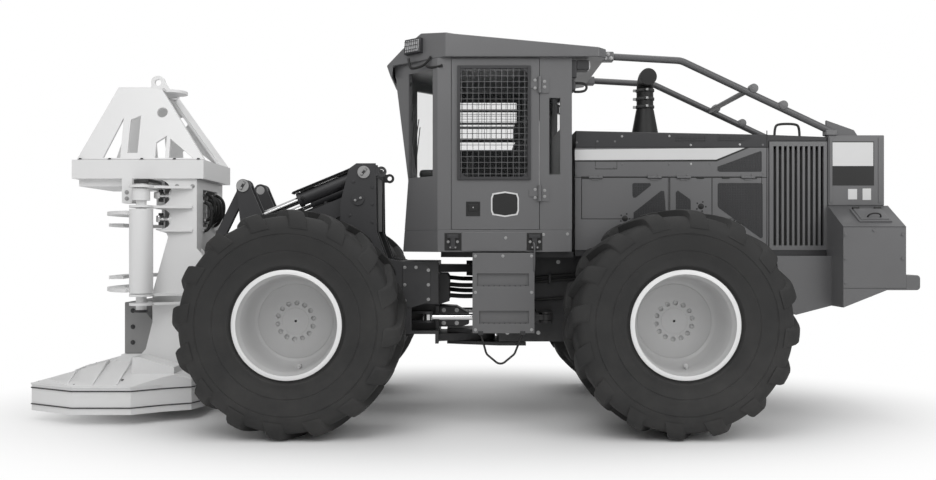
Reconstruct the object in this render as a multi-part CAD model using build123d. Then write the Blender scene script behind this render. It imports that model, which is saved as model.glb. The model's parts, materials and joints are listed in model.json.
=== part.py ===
import math
import os

from build123d import *

# Wheeled feller buncher with a disc saw head, millimetres.
# +X is forward, +Y is left and +Z is up. Stations along X are measured from the hinge pin
# between the two frames. The finished pieces are moved so that the origin is under the
# middle of the whole machine's box.

# Overall reach from the hinge pin
front_reach = 3950.0
rear_reach = 3650.0

# Running and fitting clearances
run_gap = 0.3
swing_gap = 5.0

# Wheels
tyre_radius = 910.0
tyre_width = 777.0
tread_half = 335.0
bulge_radius = 720.0
bulge_relief = 3.4
carcass_radius = 860.0
lug_foot = 775.0
lug_pairs = 16
lug_lean = 210.0
lug_centre_width = 80.0
lug_shoulder_width = 135.0
seat_radius = 407.0
flange_radius = 432.0
rim_width = 686.0
rim_wall = 17.0
rim_flange = 18.0
disc_inset = 57.0
disc_thick = 28.0
dish_radius = 325.0
hub_radius = 170.0
hub_depth = 243.0
centre_hole = 22.0
track = 2300.0
wheelbase = 3110.0

# Axles
axle_tube = 110.0
axle_bowl = 190.0
trunnion_radius = 90.0
hanger_near = 300.0
hanger_thick = 60.0
hanger_drop = 130.0

# Rear frame
side_plate = 30.0
frame_half = 330.0
frame_nose = -140.0
belly_z = 660.0
frame_top = 1440.0
arch_z = 1120.0
arch_slope = 45.0
tail_belly_z = 930.0
deck_z = 1490.0
deck_half = 600.0
deck_front = -800.0
platform_z = 1474.0
platform_under = 1425.0
platform_front = 380.0

# Hinge between the frames
hinge_pin = 50.0
hinge_tongue = 67.0
hinge_plate = 30.0
lower_hinge_z = 620.0
upper_hinge_z = 1250.0
hinge_nose = 150.0
lower_nose_x = 330.0
tongue_nose = 120.0

# Steering cylinders
steer_y = 420.0
steer_z = 890.0
steer_base_x = -560.0
steer_eye_x = 500.0
steer_pin = 30.0
steer_eye = 52.0
steer_eye_thick = 50.0
steer_barrel = 55.0
steer_rod = 28.0
steer_lug = 20.0
steer_barrel_run = 645.0
steer_rod_start = 354.0

# Front frame and tower
web_x = 400.0
front_top = 1385.0
front_belly = 740.0
front_nose = 1900.0
arch_back = 215.0
belly_back = 315.0
over_axle_z = 1110.0
tower_in = 240.0
tower_out = 460.0
tower_plate = 30.0

# Linkage pivots in the side view
boom_pivot = (1117.0, 1943.0)
tilt_base = (1066.0, 2184.0)
lever_pivot = (2081.0, 1544.0)
head_pivot = (2428.0, 834.0)
lever_rise = (70.0, 520.0)
spacer_rise = (59.0, 196.0)
spacer_radius = 22.0
tilt_rise = (tilt_base[0] - boom_pivot[0], tilt_base[1] - boom_pivot[1])
lever_top = (lever_pivot[0] + lever_rise[0], lever_pivot[1] + lever_rise[1])
link_foot = (head_pivot[0] + lever_rise[0], head_pivot[1] + lever_rise[1])
tilt_eye = (lever_pivot[0] + tilt_rise[0], lever_pivot[1] + tilt_rise[1])
lift_base = (1050.0, 1180.0)
lift_eye = (1750.0, 1500.0)
link_y = 350.0
arm_thick = 90.0
ear_thick = 25.0
ear_gap = 10.0
link_thick = 60.0
link_pin = 40.0
pin_head = 55.0
arm_half = 75.0
tilt_barrel = 62.0
tilt_rod = 32.0
lift_barrel = 62.0
lift_rod = 34.0
lift_y = 150.0
tilt_barrel_run = 647.0
tilt_rod_start = 300.0
lift_barrel_run = 560.0
lift_rod_start = 155.0

# Cab
cab_half = 750.0
cab_rear = -755.0
cab_front = 720.0
cab_sill_x = 670.0
cab_sill_z = 2110.0
cab_head_x = 806.0
cab_wall = 45.0
cab_floor_z = 1474.0
cab_floor_thick = 26.0
door_low_z = 1665.0
roof_z = 3144.0
chamfer_x = 400.0
chamfer_step = 320.0
chamfer_drop = 350.0
door_rear = -474.0
door_front = 279.0
door_hinge_y = 766.0
door_hinge_x = -477.0
glass_thick = 6.0

# Hood
hood_half = 610.0
hood_wall = 30.0
hood_front = -800.0
hood_top_z = 2534.0
hood_top_rear_z = 2480.0
band_z = 2385.0
door_top_z = 2128.0
door_edge_z = 1765.0
louvre_length = 520.0
louvre_top_z = 2440.0
door_share = 0.485
stack_back = 730.0
roof_rear = -1050.0

# Rear tank and bumper
tank_half = 950.0
tank_length = 525.0
bumper_depth = 120.0
tank_low_z = 1156.0
tank_top_z = 1690.0
tank_crown_z = 1878.0
pod_half = 700.0
bumper_height = 126.0

# Felling head
mast_rear = 2563.0
mast_front = 2930.0
mast_half = 430.0
mast_wall = 28.0
mast_foot_z = 330.0
beam_rear = 2494.0
beam_front = 3669.0
beam_half = 460.0
beam_z = 2126.0
beam_top_z = 2296.0
waist_low_z = 1606.0
foot_front = 3060.0
foot_top_z = 560.0
chest_x = 2960.0
saw_x = 3150.0
saw_radius = 700.0
saw_thick = 38.0
saw_z = 190.0
skid_z = 92.0
skid_thick = 28.0
cover_z = 300.0
cover_thick = 30.0
shoe_half = 850.0
clamp_x = 3000.0
clamp_y = 600.0
clamp_tube = 100.0
clamp_pin = 45.0
clamp_low_z = 1112.0
clamp_top_z = 1850.0
hook_thick = 32.0
guard_lean = 15.0
guard_thick = 24.0
sleeve_radius = 40.0
sleeve_start = 215.0
sleeve_end = 590.0
gland_run = 32.0

# Stations that follow from the sizes above
axle_x = wheelbase / 2
mid_shift = -(front_reach - rear_reach) / 2
tank_rear = -(rear_reach - bumper_depth)
tank_front = tank_rear + tank_length
tower_rear = tank_rear + 30
frame_tail = tank_front + 5
louvre_rear = tank_front - 5
hood_rear = louvre_rear + louvre_length
door_seam = hood_front + (hood_rear - hood_front) * door_share
stack_x = hood_front - stack_back
front_arch = axle_x - arch_back
belly_end = axle_x - belly_back


def block(x_low, x_high, y_low, y_high, z_low, z_high):
    size = (x_high - x_low, y_high - y_low, z_high - z_low)
    centre = ((x_low + x_high) / 2, (y_low + y_high) / 2, (z_low + z_high) / 2)
    return Pos(*centre) * Box(*size)


def side_plan(points, y_low, y_high):
    # A plate whose outline is given as (x, z), between two faces across the machine.
    wire = Polyline(*[(x, y_low, z) for x, z in points], close=True)
    return extrude(make_face(wire), y_high - y_low, dir=(0, 1, 0))


def floor_plan(points, z_low, z_high):
    wire = Polyline(*[(x, y, z_low) for x, y in points], close=True)
    return extrude(make_face(wire), z_high - z_low, dir=(0, 0, 1))


def cross_plan(points, x_low, x_high):
    wire = Polyline(*[(x_low, y, z) for y, z in points], close=True)
    return extrude(make_face(wire), x_high - x_low, dir=(1, 0, 0))


def cyl_x(x_low, x_high, y, z, radius):
    return Pos((x_low + x_high) / 2, y, z) * Rot(0, 90, 0) * Cylinder(radius, x_high - x_low)


def cyl_y(x, y_low, y_high, z, radius):
    return Pos(x, (y_low + y_high) / 2, z) * Rot(90, 0, 0) * Cylinder(radius, y_high - y_low)


def cyl_z(x, y, z_low, z_high, radius):
    return Pos(x, y, (z_low + z_high) / 2) * Cylinder(radius, z_high - z_low)


def rod_between(start, end, radius):
    line = Vector(*end) - Vector(*start)
    plane = Plane(origin=start, z_dir=line)
    return extrude(plane * Circle(radius), line.length)


def rounded_bar(first, second, half, y_low, y_high):
    # A link plate in the side view: two round ends joined by straight edges.
    run = math.dist(first, second)
    nx = -(second[1] - first[1]) / run * half
    nz = (second[0] - first[0]) / run * half
    corners = [
        (first[0] + nx, first[1] + nz),
        (second[0] + nx, second[1] + nz),
        (second[0] - nx, second[1] - nz),
        (first[0] - nx, first[1] - nz),
    ]
    bar = side_plan(corners, y_low, y_high)
    bar += cyl_y(first[0], y_low, y_high, first[1], half)
    return bar + cyl_y(second[0], y_low, y_high, second[1], half)


def tube_path(points, bend, radius):
    path = FilletPolyline(*points, radius=bend)
    start = path @ 0
    section = Plane(origin=start, z_dir=path % 0) * Circle(radius)
    return sweep(section, path=path)


def mirrored(shape):
    return mirror(shape, about=Plane.XZ)


def solids_of(shape):
    if isinstance(shape, (list, tuple)):
        return [solid for item in shape for solid in solids_of(item)]
    return list(shape.solids())


def write_part(name, shape):
    placed = [solid.moved(Location((mid_shift, 0, 0))) for solid in solids_of(shape)]
    whole = placed[0] if len(placed) == 1 else Compound(children=placed)
    export_step(whole, f"parts/{name}.step")


def ring(profile, sides):
    # A closed ring of flat faces about Z, from a section given as (radius, height).
    faces = []
    corners = []
    for index in range(sides):
        angle = 2 * math.pi * index / sides
        corners.append([(r * math.cos(angle), r * math.sin(angle), h) for r, h in profile])
    for index in range(sides):
        here, there = corners[index], corners[(index + 1) % sides]
        for step in range(len(profile)):
            after = (step + 1) % len(profile)
            quad = [here[step], here[after], there[after], there[step]]
            faces.append(Face(Wire.make_polygon(quad)))
    return Solid(Shell(faces))


def make_tyre(lead):
    # The carcass with a ring of slanted lugs on each half of the tread. The middle of the
    # tread leads by the given sign, so that the lugs bite when the machine drives forward.
    half = tyre_width / 2 - bulge_relief
    bead = rim_width / 2 - rim_flange
    bore = (seat_radius + run_gap) / math.cos(math.pi / (2 * lug_pairs))
    side = [(carcass_radius, tread_half), (bulge_radius, half - 8), (flange_radius + 30, bead),
            (bore, bead)]
    carcass = ring(side + [(r, -h) for r, h in reversed(side)], 2 * lug_pairs)

    # Each lug is its plan cut to the section of the tread, which slopes at the shoulder.
    near = lug_lean / 2
    reach = near + lug_shoulder_width / 2
    top = math.sqrt(tyre_radius ** 2 - reach ** 2)
    lug_plan = [
        (near + lug_centre_width / 2, 0), (near - lug_centre_width / 2, 0),
        (-reach, half + 5), (-near + lug_shoulder_width / 2, half + 5),
    ]
    plan = Polyline(*[(lug_foot, lead * t, h) for t, h in lug_plan], close=True)
    lug_side = [(lug_foot, 0), (top, 0), (top, tread_half), (lug_foot, half)]
    edge = Polyline(*[(x, -reach - 1, h) for x, h in lug_side], close=True)
    lug = extrude(make_face(plan), top - lug_foot, dir=(1, 0, 0)) & extrude(
        make_face(edge), 2 * reach + 2, dir=(0, 1, 0))
    pitch = 360 / lug_pairs
    lugs = []
    for index in range(lug_pairs):
        lugs.append(Rot(0, 0, index * pitch) * lug)
        lugs.append(Rot(0, 0, (index + 0.5) * pitch) * mirror(lug, about=Plane.XY))
    return carcass.fuse(*lugs)


def make_wheels():
    rim_half = rim_width / 2
    flange = rim_flange
    inner = seat_radius - rim_wall
    face = -disc_inset
    # The rim's section: bead seats and flanges, a drop to the bowl, the disc and the hub
    outline = [
        (inner + 6, rim_half), (flange_radius, rim_half), (flange_radius, rim_half - flange),
        (seat_radius, rim_half - flange), (seat_radius, -rim_half + flange),
        (flange_radius, -rim_half + flange), (flange_radius, -rim_half),
        (inner, -rim_half), (inner, face - disc_thick - 45),
        (dish_radius, face - disc_thick), (hub_radius, face - disc_thick),
        (hub_radius, face - hub_depth), (centre_hole, face - hub_depth),
        (centre_hole, face), (dish_radius - 15, face), (dish_radius + 10, face + 12),
        (inner - 12, face + 95), (inner - 6, rim_half - 60),
    ]
    rim = revolve(make_face(Polyline(*[(r, 0, h) for r, h in outline], close=True)), axis=Axis.Z)
    tyres = {1: make_tyre(1), -1: make_tyre(-1)}
    for fore, x in (("front", axle_x), ("rear", -axle_x)):
        for side, sign in (("left", 1), ("right", -1)):
            centre = Location((x, sign * track / 2, tyre_radius))
            turn = Rot(-90, 0, 0) if sign > 0 else Rot(90, 0, 0)
            write_part(f"{fore}_{side}_tyre", centre * turn * tyres[sign])
            write_part(f"{fore}_{side}_rim", centre * turn * rim)


def make_axles():
    reach = track / 2 - disc_inset - hub_depth - run_gap
    for name, x in (("front_axle", axle_x), ("rear_axle", -axle_x)):
        axle = cyl_y(x, -reach, reach, tyre_radius, axle_tube)
        axle += cyl_x(x - 210, x + 210, 0, tyre_radius, axle_bowl)
        for sign in (1, -1):
            low, high = sorted((sign * (reach - 90), sign * reach))
            axle += cyl_y(x, low, high, tyre_radius, hub_radius)
        if name == "front_axle":
            for sign in (1, -1):
                low, high = sorted((sign * 270, sign * 420))
                axle += block(x - 110, x + 110, low, high, tyre_radius, over_axle_z)
        else:
            end = hanger_near + hanger_thick + 30
            axle += cyl_x(x - end, x + end, 0, tyre_radius, trunnion_radius)
        write_part(name, axle)


def make_rear_frame():
    x = axle_x
    near = x - hanger_near
    far = x + hanger_near
    outline = [
        (frame_nose, frame_top), (frame_nose, belly_z), (-(near - hanger_thick), belly_z),
        (-(near - hanger_thick), tyre_radius - hanger_drop), (-near, tyre_radius - hanger_drop),
        (-(near + arch_slope), arch_z), (-(far - arch_slope), arch_z),
        (-far, tyre_radius - hanger_drop), (-(far + hanger_thick), tyre_radius - hanger_drop),
        (-(far + 2 * hanger_thick), tail_belly_z), (frame_tail, tail_belly_z + 80),
        (frame_tail, frame_top),
    ]
    inner = frame_half - side_plate
    frame = side_plan(outline, inner, frame_half) + side_plan(outline, -frame_half, -inner)
    frame += block(frame_nose - side_plate, frame_nose, -inner, inner, belly_z, frame_top)
    frame += block(-(near - hanger_thick), frame_nose, -inner, inner, belly_z, belly_z + 20)
    for start in (-near, -far - hanger_thick):
        hanger = block(start, start + hanger_thick, -inner, inner, tyre_radius - hanger_drop, frame_top)
        frame += hanger - cyl_x(start - 1, start + hanger_thick + 1, 0, tyre_radius,
                                trunnion_radius + run_gap)
    frame += block(frame_tail, deck_front, -deck_half, deck_half, frame_top - 1, deck_z)
    frame += floor_plan(
        [(cab_rear - 30, -deck_half), (cab_rear - 30, deck_half), (frame_nose, deck_half),
         (platform_front, 420), (platform_front, -420), (frame_nose, -deck_half)],
        platform_under, platform_z)
    gap = hinge_tongue + 2 * swing_gap
    for z, nose_x, nose_half in (
        (lower_hinge_z, lower_nose_x, 130.0),
        (lower_hinge_z + hinge_plate + gap, lower_nose_x, 130.0),
        (upper_hinge_z, hinge_nose, 90.0),
        (upper_hinge_z + hinge_plate + gap, hinge_nose, 90.0),
    ):
        frame += floor_plan(
            [(frame_nose - 250, -inner), (frame_nose - 250, inner), (frame_nose, inner),
             (nose_x, nose_half), (nose_x, -nose_half), (frame_nose, -inner)], z, z + hinge_plate)
    for z in (lower_hinge_z, upper_hinge_z):
        frame += cyl_z(0, 0, z, z + 2 * hinge_plate + gap, hinge_pin)
    for sign in (1, -1):
        for z in (steer_z - steer_eye_thick / 2 - swing_gap - steer_lug,
                  steer_z + steer_eye_thick / 2 + swing_gap):
            low, high = sorted((sign * inner, sign * steer_y))
            lug = block(steer_base_x - steer_eye, steer_base_x + steer_eye, low, high, z, z + steer_lug)
            frame += lug + cyl_z(steer_base_x, sign * steer_y, z, z + steer_lug, steer_eye)
        frame += cyl_z(steer_base_x, sign * steer_y, steer_z - 50, steer_z + 50, steer_pin)
        # The cylinder swings in through a pocket in the nose.
        low, high = sorted((sign * (steer_y / 2), sign * (frame_half + 1)))
        frame -= block(steer_base_x + steer_eye + 25, frame_nose + 1, low, high,
                       steer_z - steer_barrel - swing_gap, steer_z + steer_barrel + swing_gap)
    write_part("rear_frame", frame)
    cooler = block(louvre_rear + 50, louvre_rear + 450, -500, 500, deck_z, louvre_top_z - 60)
    engine = block(hood_rear + 140, hood_front - 450, -330, 330, deck_z, 2250)
    write_part("engine_block", [engine, cooler])


def make_front_frame():
    outline = [
        (web_x, front_top), (730, front_top + 2), (867, 1413), (953, 1652), (961, 2263),
        (1132, 2263), (1200, 2215), (1276, 1908), (1276, 1754), (1400, 1420), (front_nose, 1300),
        (front_nose, over_axle_z), (front_arch, over_axle_z), (belly_end, front_belly + 20),
        (web_x, front_belly),
    ]
    frame = None
    for low, high in ((tower_in, tower_in + tower_plate), (tower_out - tower_plate, tower_out)):
        for a, b in ((low, high), (-high, -low)):
            plate = side_plan(outline, a, b)
            frame = plate if frame is None else frame + plate
    frame += block(front_arch - 50, front_nose, -tower_out, tower_out, over_axle_z, over_axle_z + 30)
    frame += block(730, 1260, -tower_out, tower_out, front_top - 25, front_top)
    for sign in (1, -1):
        # The lift cylinders rise through slots in the deck.
        low, high = sorted((sign * (lift_y - lift_barrel - swing_gap),
                            sign * (lift_y + lift_barrel + swing_gap)))
        frame -= block(1140, 1261, low, high, front_top - 26, front_top + 1)
    frame += block(front_nose - 30, front_nose, -tower_out, tower_out, over_axle_z, 1300)
    frame += block(980, 1240, -tower_in, tower_in, 2100 - 30, 2100)
    frame += block(965, 995, -tower_out, tower_out, 1660, 2150) - block(
        900, 1100, tower_in + tower_plate, tower_out - tower_plate, 1600, 2300) - block(
        900, 1100, -tower_out + tower_plate, -tower_in - tower_plate, 1600, 2300)
    frame += block(web_x, web_x + 30, -tower_out, tower_out, lower_hinge_z + 35, 980)
    frame += block(web_x, web_x + 30, -tower_out, tower_out, 1250, front_top)
    frame += block(web_x, web_x + 30, -120, 120, 970, 1260)
    frame += block(web_x, belly_end, -tower_out, tower_out, front_belly, front_belly + 20)
    frame += floor_plan([(web_x, tower_out), (web_x, -tower_out), (730, -tower_out),
                         (730, tower_out)], front_top - 20, front_top)
    for z in (lower_hinge_z, upper_hinge_z):
        low = z + hinge_plate + swing_gap
        tongue = floor_plan(
            [(0, tongue_nose), (web_x + 30, 260), (web_x + 30, -260), (0, -tongue_nose)],
            low, low + hinge_tongue)
        tongue += cyl_z(0, 0, low, low + hinge_tongue, tongue_nose)
        frame += tongue - cyl_z(0, 0, low - 1, low + hinge_tongue + 1, hinge_pin + run_gap)
    # The steering eyes' lugs stand clear of the open eye's drift.
    frame -= block(web_x - 1, 640, 335, tower_out + 1, steer_z - 120, steer_z + 120)
    frame -= block(web_x - 1, 640, -tower_out - 1, -335, steer_z - 120, steer_z + 120)
    for sign in (1, -1):
        lug_plan = [(steer_eye_x - 35, tower_in), (660, tower_in), (660, steer_y - 70),
                    (steer_eye_x + 40, steer_y + 33), (steer_eye_x - 40, steer_y - 33)]
        for z in (steer_z - steer_eye_thick / 2 - swing_gap - steer_lug,
                  steer_z + steer_eye_thick / 2 + swing_gap):
            frame += floor_plan([(x, sign * y) for x, y in lug_plan], z, z + steer_lug)
            frame += cyl_z(steer_eye_x, sign * steer_y, z, z + steer_lug, steer_eye)
    for sign in (1, -1):
        low, high = sorted((sign * tower_in, sign * tower_out))
        for pivot, radius in ((boom_pivot, link_pin), (tilt_base, link_pin), (lift_base, link_pin)):
            frame -= cyl_y(pivot[0], low, high, pivot[1], radius + run_gap)
    lug_y = lift_y + lift_barrel + swing_gap
    for a, b in ((lug_y, tower_in), (-tower_in, -lug_y)):
        frame += block(lift_base[0] - 70, lift_base[0] + 70, a, b, lift_base[1] - 70, lift_base[1] + 70)
    frame += cyl_y(lift_base[0], -tower_in, tower_in, lift_base[1], link_pin)
    write_part("front_frame", frame)


def ears(pivot, half, root_x, z_low, z_high):
    # Two pairs of ears from a wall at root_x back to a pin, with the pin's bores.
    found = None
    for sign in (1, -1):
        for inner in (link_y - arm_thick / 2 - ear_gap - ear_thick, link_y + arm_thick / 2 + ear_gap):
            low, high = sorted((sign * inner, sign * (inner + ear_thick)))
            plate = side_plan([(pivot[0], pivot[1] + half), (root_x, z_high), (root_x, z_low),
                               (pivot[0], pivot[1] - half)], low, high)
            plate += cyl_y(pivot[0], low, high, pivot[1], half)
            plate -= cyl_y(pivot[0], low - 1, high + 1, pivot[1], link_pin + run_gap)
            found = plate if found is None else found + plate
    return found


def pins(pivot, inner, outer):
    # Two cross pins, one a side, with a head on each outer end.
    pair = []
    for sign in (1, -1):
        low, high = sorted((sign * inner, sign * outer))
        a, b = sorted((sign * (outer), sign * (outer + 12)))
        pin = cyl_y(pivot[0], low, high, pivot[1], link_pin)
        pair.append(pin + cyl_y(pivot[0], a, b, pivot[1], pin_head))
    return pair


def make_linkage():
    half_gap = arm_thick / 2 + ear_gap
    ear_in = link_y - half_gap - ear_thick
    ear_out = link_y + half_gap + ear_thick
    bore = link_pin + run_gap
    arm = None
    for sign in (1, -1):
        low, high = sorted((sign * (link_y - arm_thick / 2), sign * (link_y + arm_thick / 2)))
        side = rounded_bar(boom_pivot, lever_pivot, arm_half, low, high)
        side += rounded_bar(lever_pivot, head_pivot, arm_half, low, high)
        side -= cyl_y(lever_pivot[0], low - 1, high + 1, lever_pivot[1], bore)
        side -= cyl_y(head_pivot[0], low - 1, high + 1, head_pivot[1], bore)
        a, b = sorted((sign * tower_in, sign * (tower_out + 12)))
        side += cyl_y(boom_pivot[0], a, b, boom_pivot[1], link_pin)
        c, d = sorted((sign * (tower_out + run_gap), sign * (tower_out + 14)))
        side += cyl_y(boom_pivot[0], c, d, boom_pivot[1], pin_head)
        arm = side if arm is None else arm + side
    cross_x = 1900.0
    cross_z = boom_pivot[1] + (lever_pivot[1] - boom_pivot[1]) * (cross_x - boom_pivot[0]) / (
        lever_pivot[0] - boom_pivot[0])
    arm += cyl_y(cross_x, -link_y, link_y, cross_z, 60)
    arm += cyl_y(2310, -link_y, link_y, 1075, 60)
    for sign in (1, -1):
        for y in (lift_y - 55, lift_y + 35):
            low, high = sorted((sign * y, sign * (y + 20)))
            arm += side_plan([(cross_x - 50, cross_z + 30), (cross_x + 50, cross_z - 30),
                              (lift_eye[0] + 40, lift_eye[1] - 50), (lift_eye[0] - 50, lift_eye[1] + 20)],
                             low, high)
            arm += cyl_y(lift_eye[0], low, high, lift_eye[1], 55)
    write_part("lift_arm", arm)
    write_part("head_pins", pins(head_pivot, ear_in, ear_out + run_gap))
    write_part("lever_pins", pins(lever_pivot, ear_in, ear_out + run_gap) + pins(
        lever_top, ear_in, ear_out + run_gap))
    write_part("tilt_base_pins", pins(tilt_base, tower_in, tower_out + run_gap))

    levers = []
    for sign in (1, -1):
        for inner in (ear_in, link_y + half_gap):
            low, high = sorted((sign * inner, sign * (inner + ear_thick)))
            plate = side_plan([(lever_pivot[0] + 70, lever_pivot[1] - 20),
                               (lever_top[0] + 58, lever_top[1] - 20),
                               (lever_top[0] - 56, lever_top[1] + 20),
                               (tilt_eye[0] - 56, tilt_eye[1] + 10),
                               (lever_pivot[0] - 70, lever_pivot[1] + 10)], low, high)
            plate += cyl_y(lever_pivot[0], low, high, lever_pivot[1], 72)
            plate += cyl_y(lever_top[0], low, high, lever_top[1], 60)
            plate += cyl_y(tilt_eye[0], low, high, tilt_eye[1], 60)
            for pivot in (lever_pivot, lever_top):
                plate -= cyl_y(pivot[0], low - 1, high + 1, pivot[1], bore)
            levers.append(plate)
    # A spacer joins each pair of plates, clear of the rod's open eye in every pose.
    joined = []
    for index in (0, 2):
        sign = 1 if index == 0 else -1
        low, high = sorted((sign * ear_in, sign * ear_out))
        spacer = cyl_y(lever_pivot[0] + spacer_rise[0], low, high, lever_pivot[1] + spacer_rise[1],
                       spacer_radius)
        joined.append(levers[index] + levers[index + 1] + spacer)
    write_part("levers", joined)

    links = []
    for sign in (1, -1):
        low, high = sorted((sign * (link_y - link_thick / 2), sign * (link_y + link_thick / 2)))
        bar = rounded_bar(lever_top, link_foot, 42, low, high)
        bar += cyl_y(lever_top[0], low, high, lever_top[1], 56)
        bar += cyl_y(link_foot[0], low, high, link_foot[1], 56)
        bar -= cyl_y(lever_top[0], low - 1, high + 1, lever_top[1], bore)
        bar -= cyl_y(link_foot[0], low - 1, high + 1, link_foot[1], bore)
        links.append(bar)
    write_part("links", links)

    make_cylinder_pair("tilt", tilt_base, tilt_eye, link_y, tilt_barrel, tilt_rod, arm_thick,
                       tilt_barrel_run, tilt_rod_start)
    make_cylinder_pair("lift", lift_base, lift_eye, lift_y, lift_barrel, lift_rod, 56,
                       lift_barrel_run, lift_rod_start)


def make_cylinder_pair(name, base, eye, y, barrel_radius, rod_radius, width, barrel_end, inner_end):
    # A pair with a sleeve has a wider bore behind the gland for it.
    sleeved = name == "tilt"
    run = math.dist(base, eye)
    ux = (eye[0] - base[0]) / run
    uz = (eye[1] - base[1]) / run
    eye_radius = 56.0
    barrels = []
    rods = []
    sleeves = []
    for sign in (1, -1):
        mid = sign * y

        def along(distance):
            return (base[0] + ux * distance, mid, base[1] + uz * distance)

        low, high = mid - width / 2, mid + width / 2
        barrel = rod_between(along(30), along(barrel_end), barrel_radius)
        barrel += rod_between(along(barrel_end - gland_run), along(barrel_end), barrel_radius + 7)
        barrel += cyl_y(base[0], low, high, base[1], eye_radius)
        barrel -= cyl_y(base[0], mid - barrel_radius - 10, mid + barrel_radius + 10, base[1],
                        link_pin + run_gap)
        barrel -= rod_between(along(75), along(barrel_end + 5), rod_radius + run_gap)
        if sleeved:
            barrel -= rod_between(along(75), along(barrel_end - gland_run), sleeve_radius + run_gap)
            sleeve = rod_between(along(sleeve_start), along(sleeve_end), sleeve_radius)
            sleeves.append(sleeve - rod_between(along(sleeve_start - 1), along(sleeve_end + 1),
                                                rod_radius + run_gap))
        barrels.append(barrel)
        rod = rod_between(along(inner_end), along(run - 30), rod_radius)
        rods.append(rod + cyl_y(eye[0], mid - 20, mid + 20, eye[1], 46))
    write_part(f"{name}_barrels", barrels)
    write_part(f"{name}_rods", rods)
    if sleeved:
        write_part(f"{name}_sleeves", sleeves)


def make_steering():
    barrel_end = steer_base_x + steer_barrel_run
    thick = steer_eye_thick / 2
    for side, sign in (("left", 1), ("right", -1)):
        y = sign * steer_y
        barrel = cyl_x(steer_base_x + 30, barrel_end, y, steer_z, steer_barrel)
        barrel -= block(steer_base_x - 1, steer_base_x + steer_eye + 20, y - 80, y + 80,
                        steer_z + thick, steer_z + 90)
        barrel -= block(steer_base_x - 1, steer_base_x + steer_eye + 20, y - 80, y + 80,
                        steer_z - 90, steer_z - thick)
        barrel += cyl_z(steer_base_x, y, steer_z - thick, steer_z + thick, steer_eye)
        barrel -= cyl_z(steer_base_x, y, steer_z - 80, steer_z + 80, steer_pin + run_gap)
        barrel -= cyl_x(steer_base_x + 60, barrel_end + 5, y, steer_z, steer_rod + run_gap)
        write_part(f"steer_barrel_{side}", barrel)
        rod = cyl_x(steer_base_x + steer_rod_start, steer_eye_x - 30, y, steer_z, steer_rod)
        rod += cyl_z(steer_eye_x, y, steer_z - thick, steer_z + thick, steer_eye)
        write_part(f"steer_rod_{side}", rod)


def cab_shell(inset):
    # The cab's block, taken in by an inset from the walls, roof and chamfered front corners.
    half = cab_half - inset
    front = cab_head_x + 10
    slope = chamfer_drop / chamfer_step
    edge = chamfer_x - inset * 0.35
    tip = half - (front - edge) * slope
    plan = floor_plan(
        [(cab_rear + inset, half), (edge, half), (front, tip),
         (front, -tip), (edge, -half), (cab_rear + inset, -half)], cab_floor_z, roof_z)
    profile = side_plan(
        [(cab_rear, cab_floor_z), (cab_front - inset, cab_floor_z), (cab_sill_x - inset, cab_sill_z),
         (cab_head_x - inset, roof_z), (cab_rear, roof_z)], -cab_half, cab_half)
    return plan & profile


def chamfer_prism(along_low, along_high, z_low, z_high, depth):
    # A window cutter through the chamfered front corner, measured along the chamfer.
    run = math.hypot(chamfer_step, chamfer_drop)
    angle = math.degrees(math.atan2(-chamfer_drop, chamfer_step))
    cutter = block(along_low, along_high, -depth, depth, z_low, z_high)
    return Pos(chamfer_x, cab_half, 0) * Rot(0, 0, angle) * cutter, run


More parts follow.
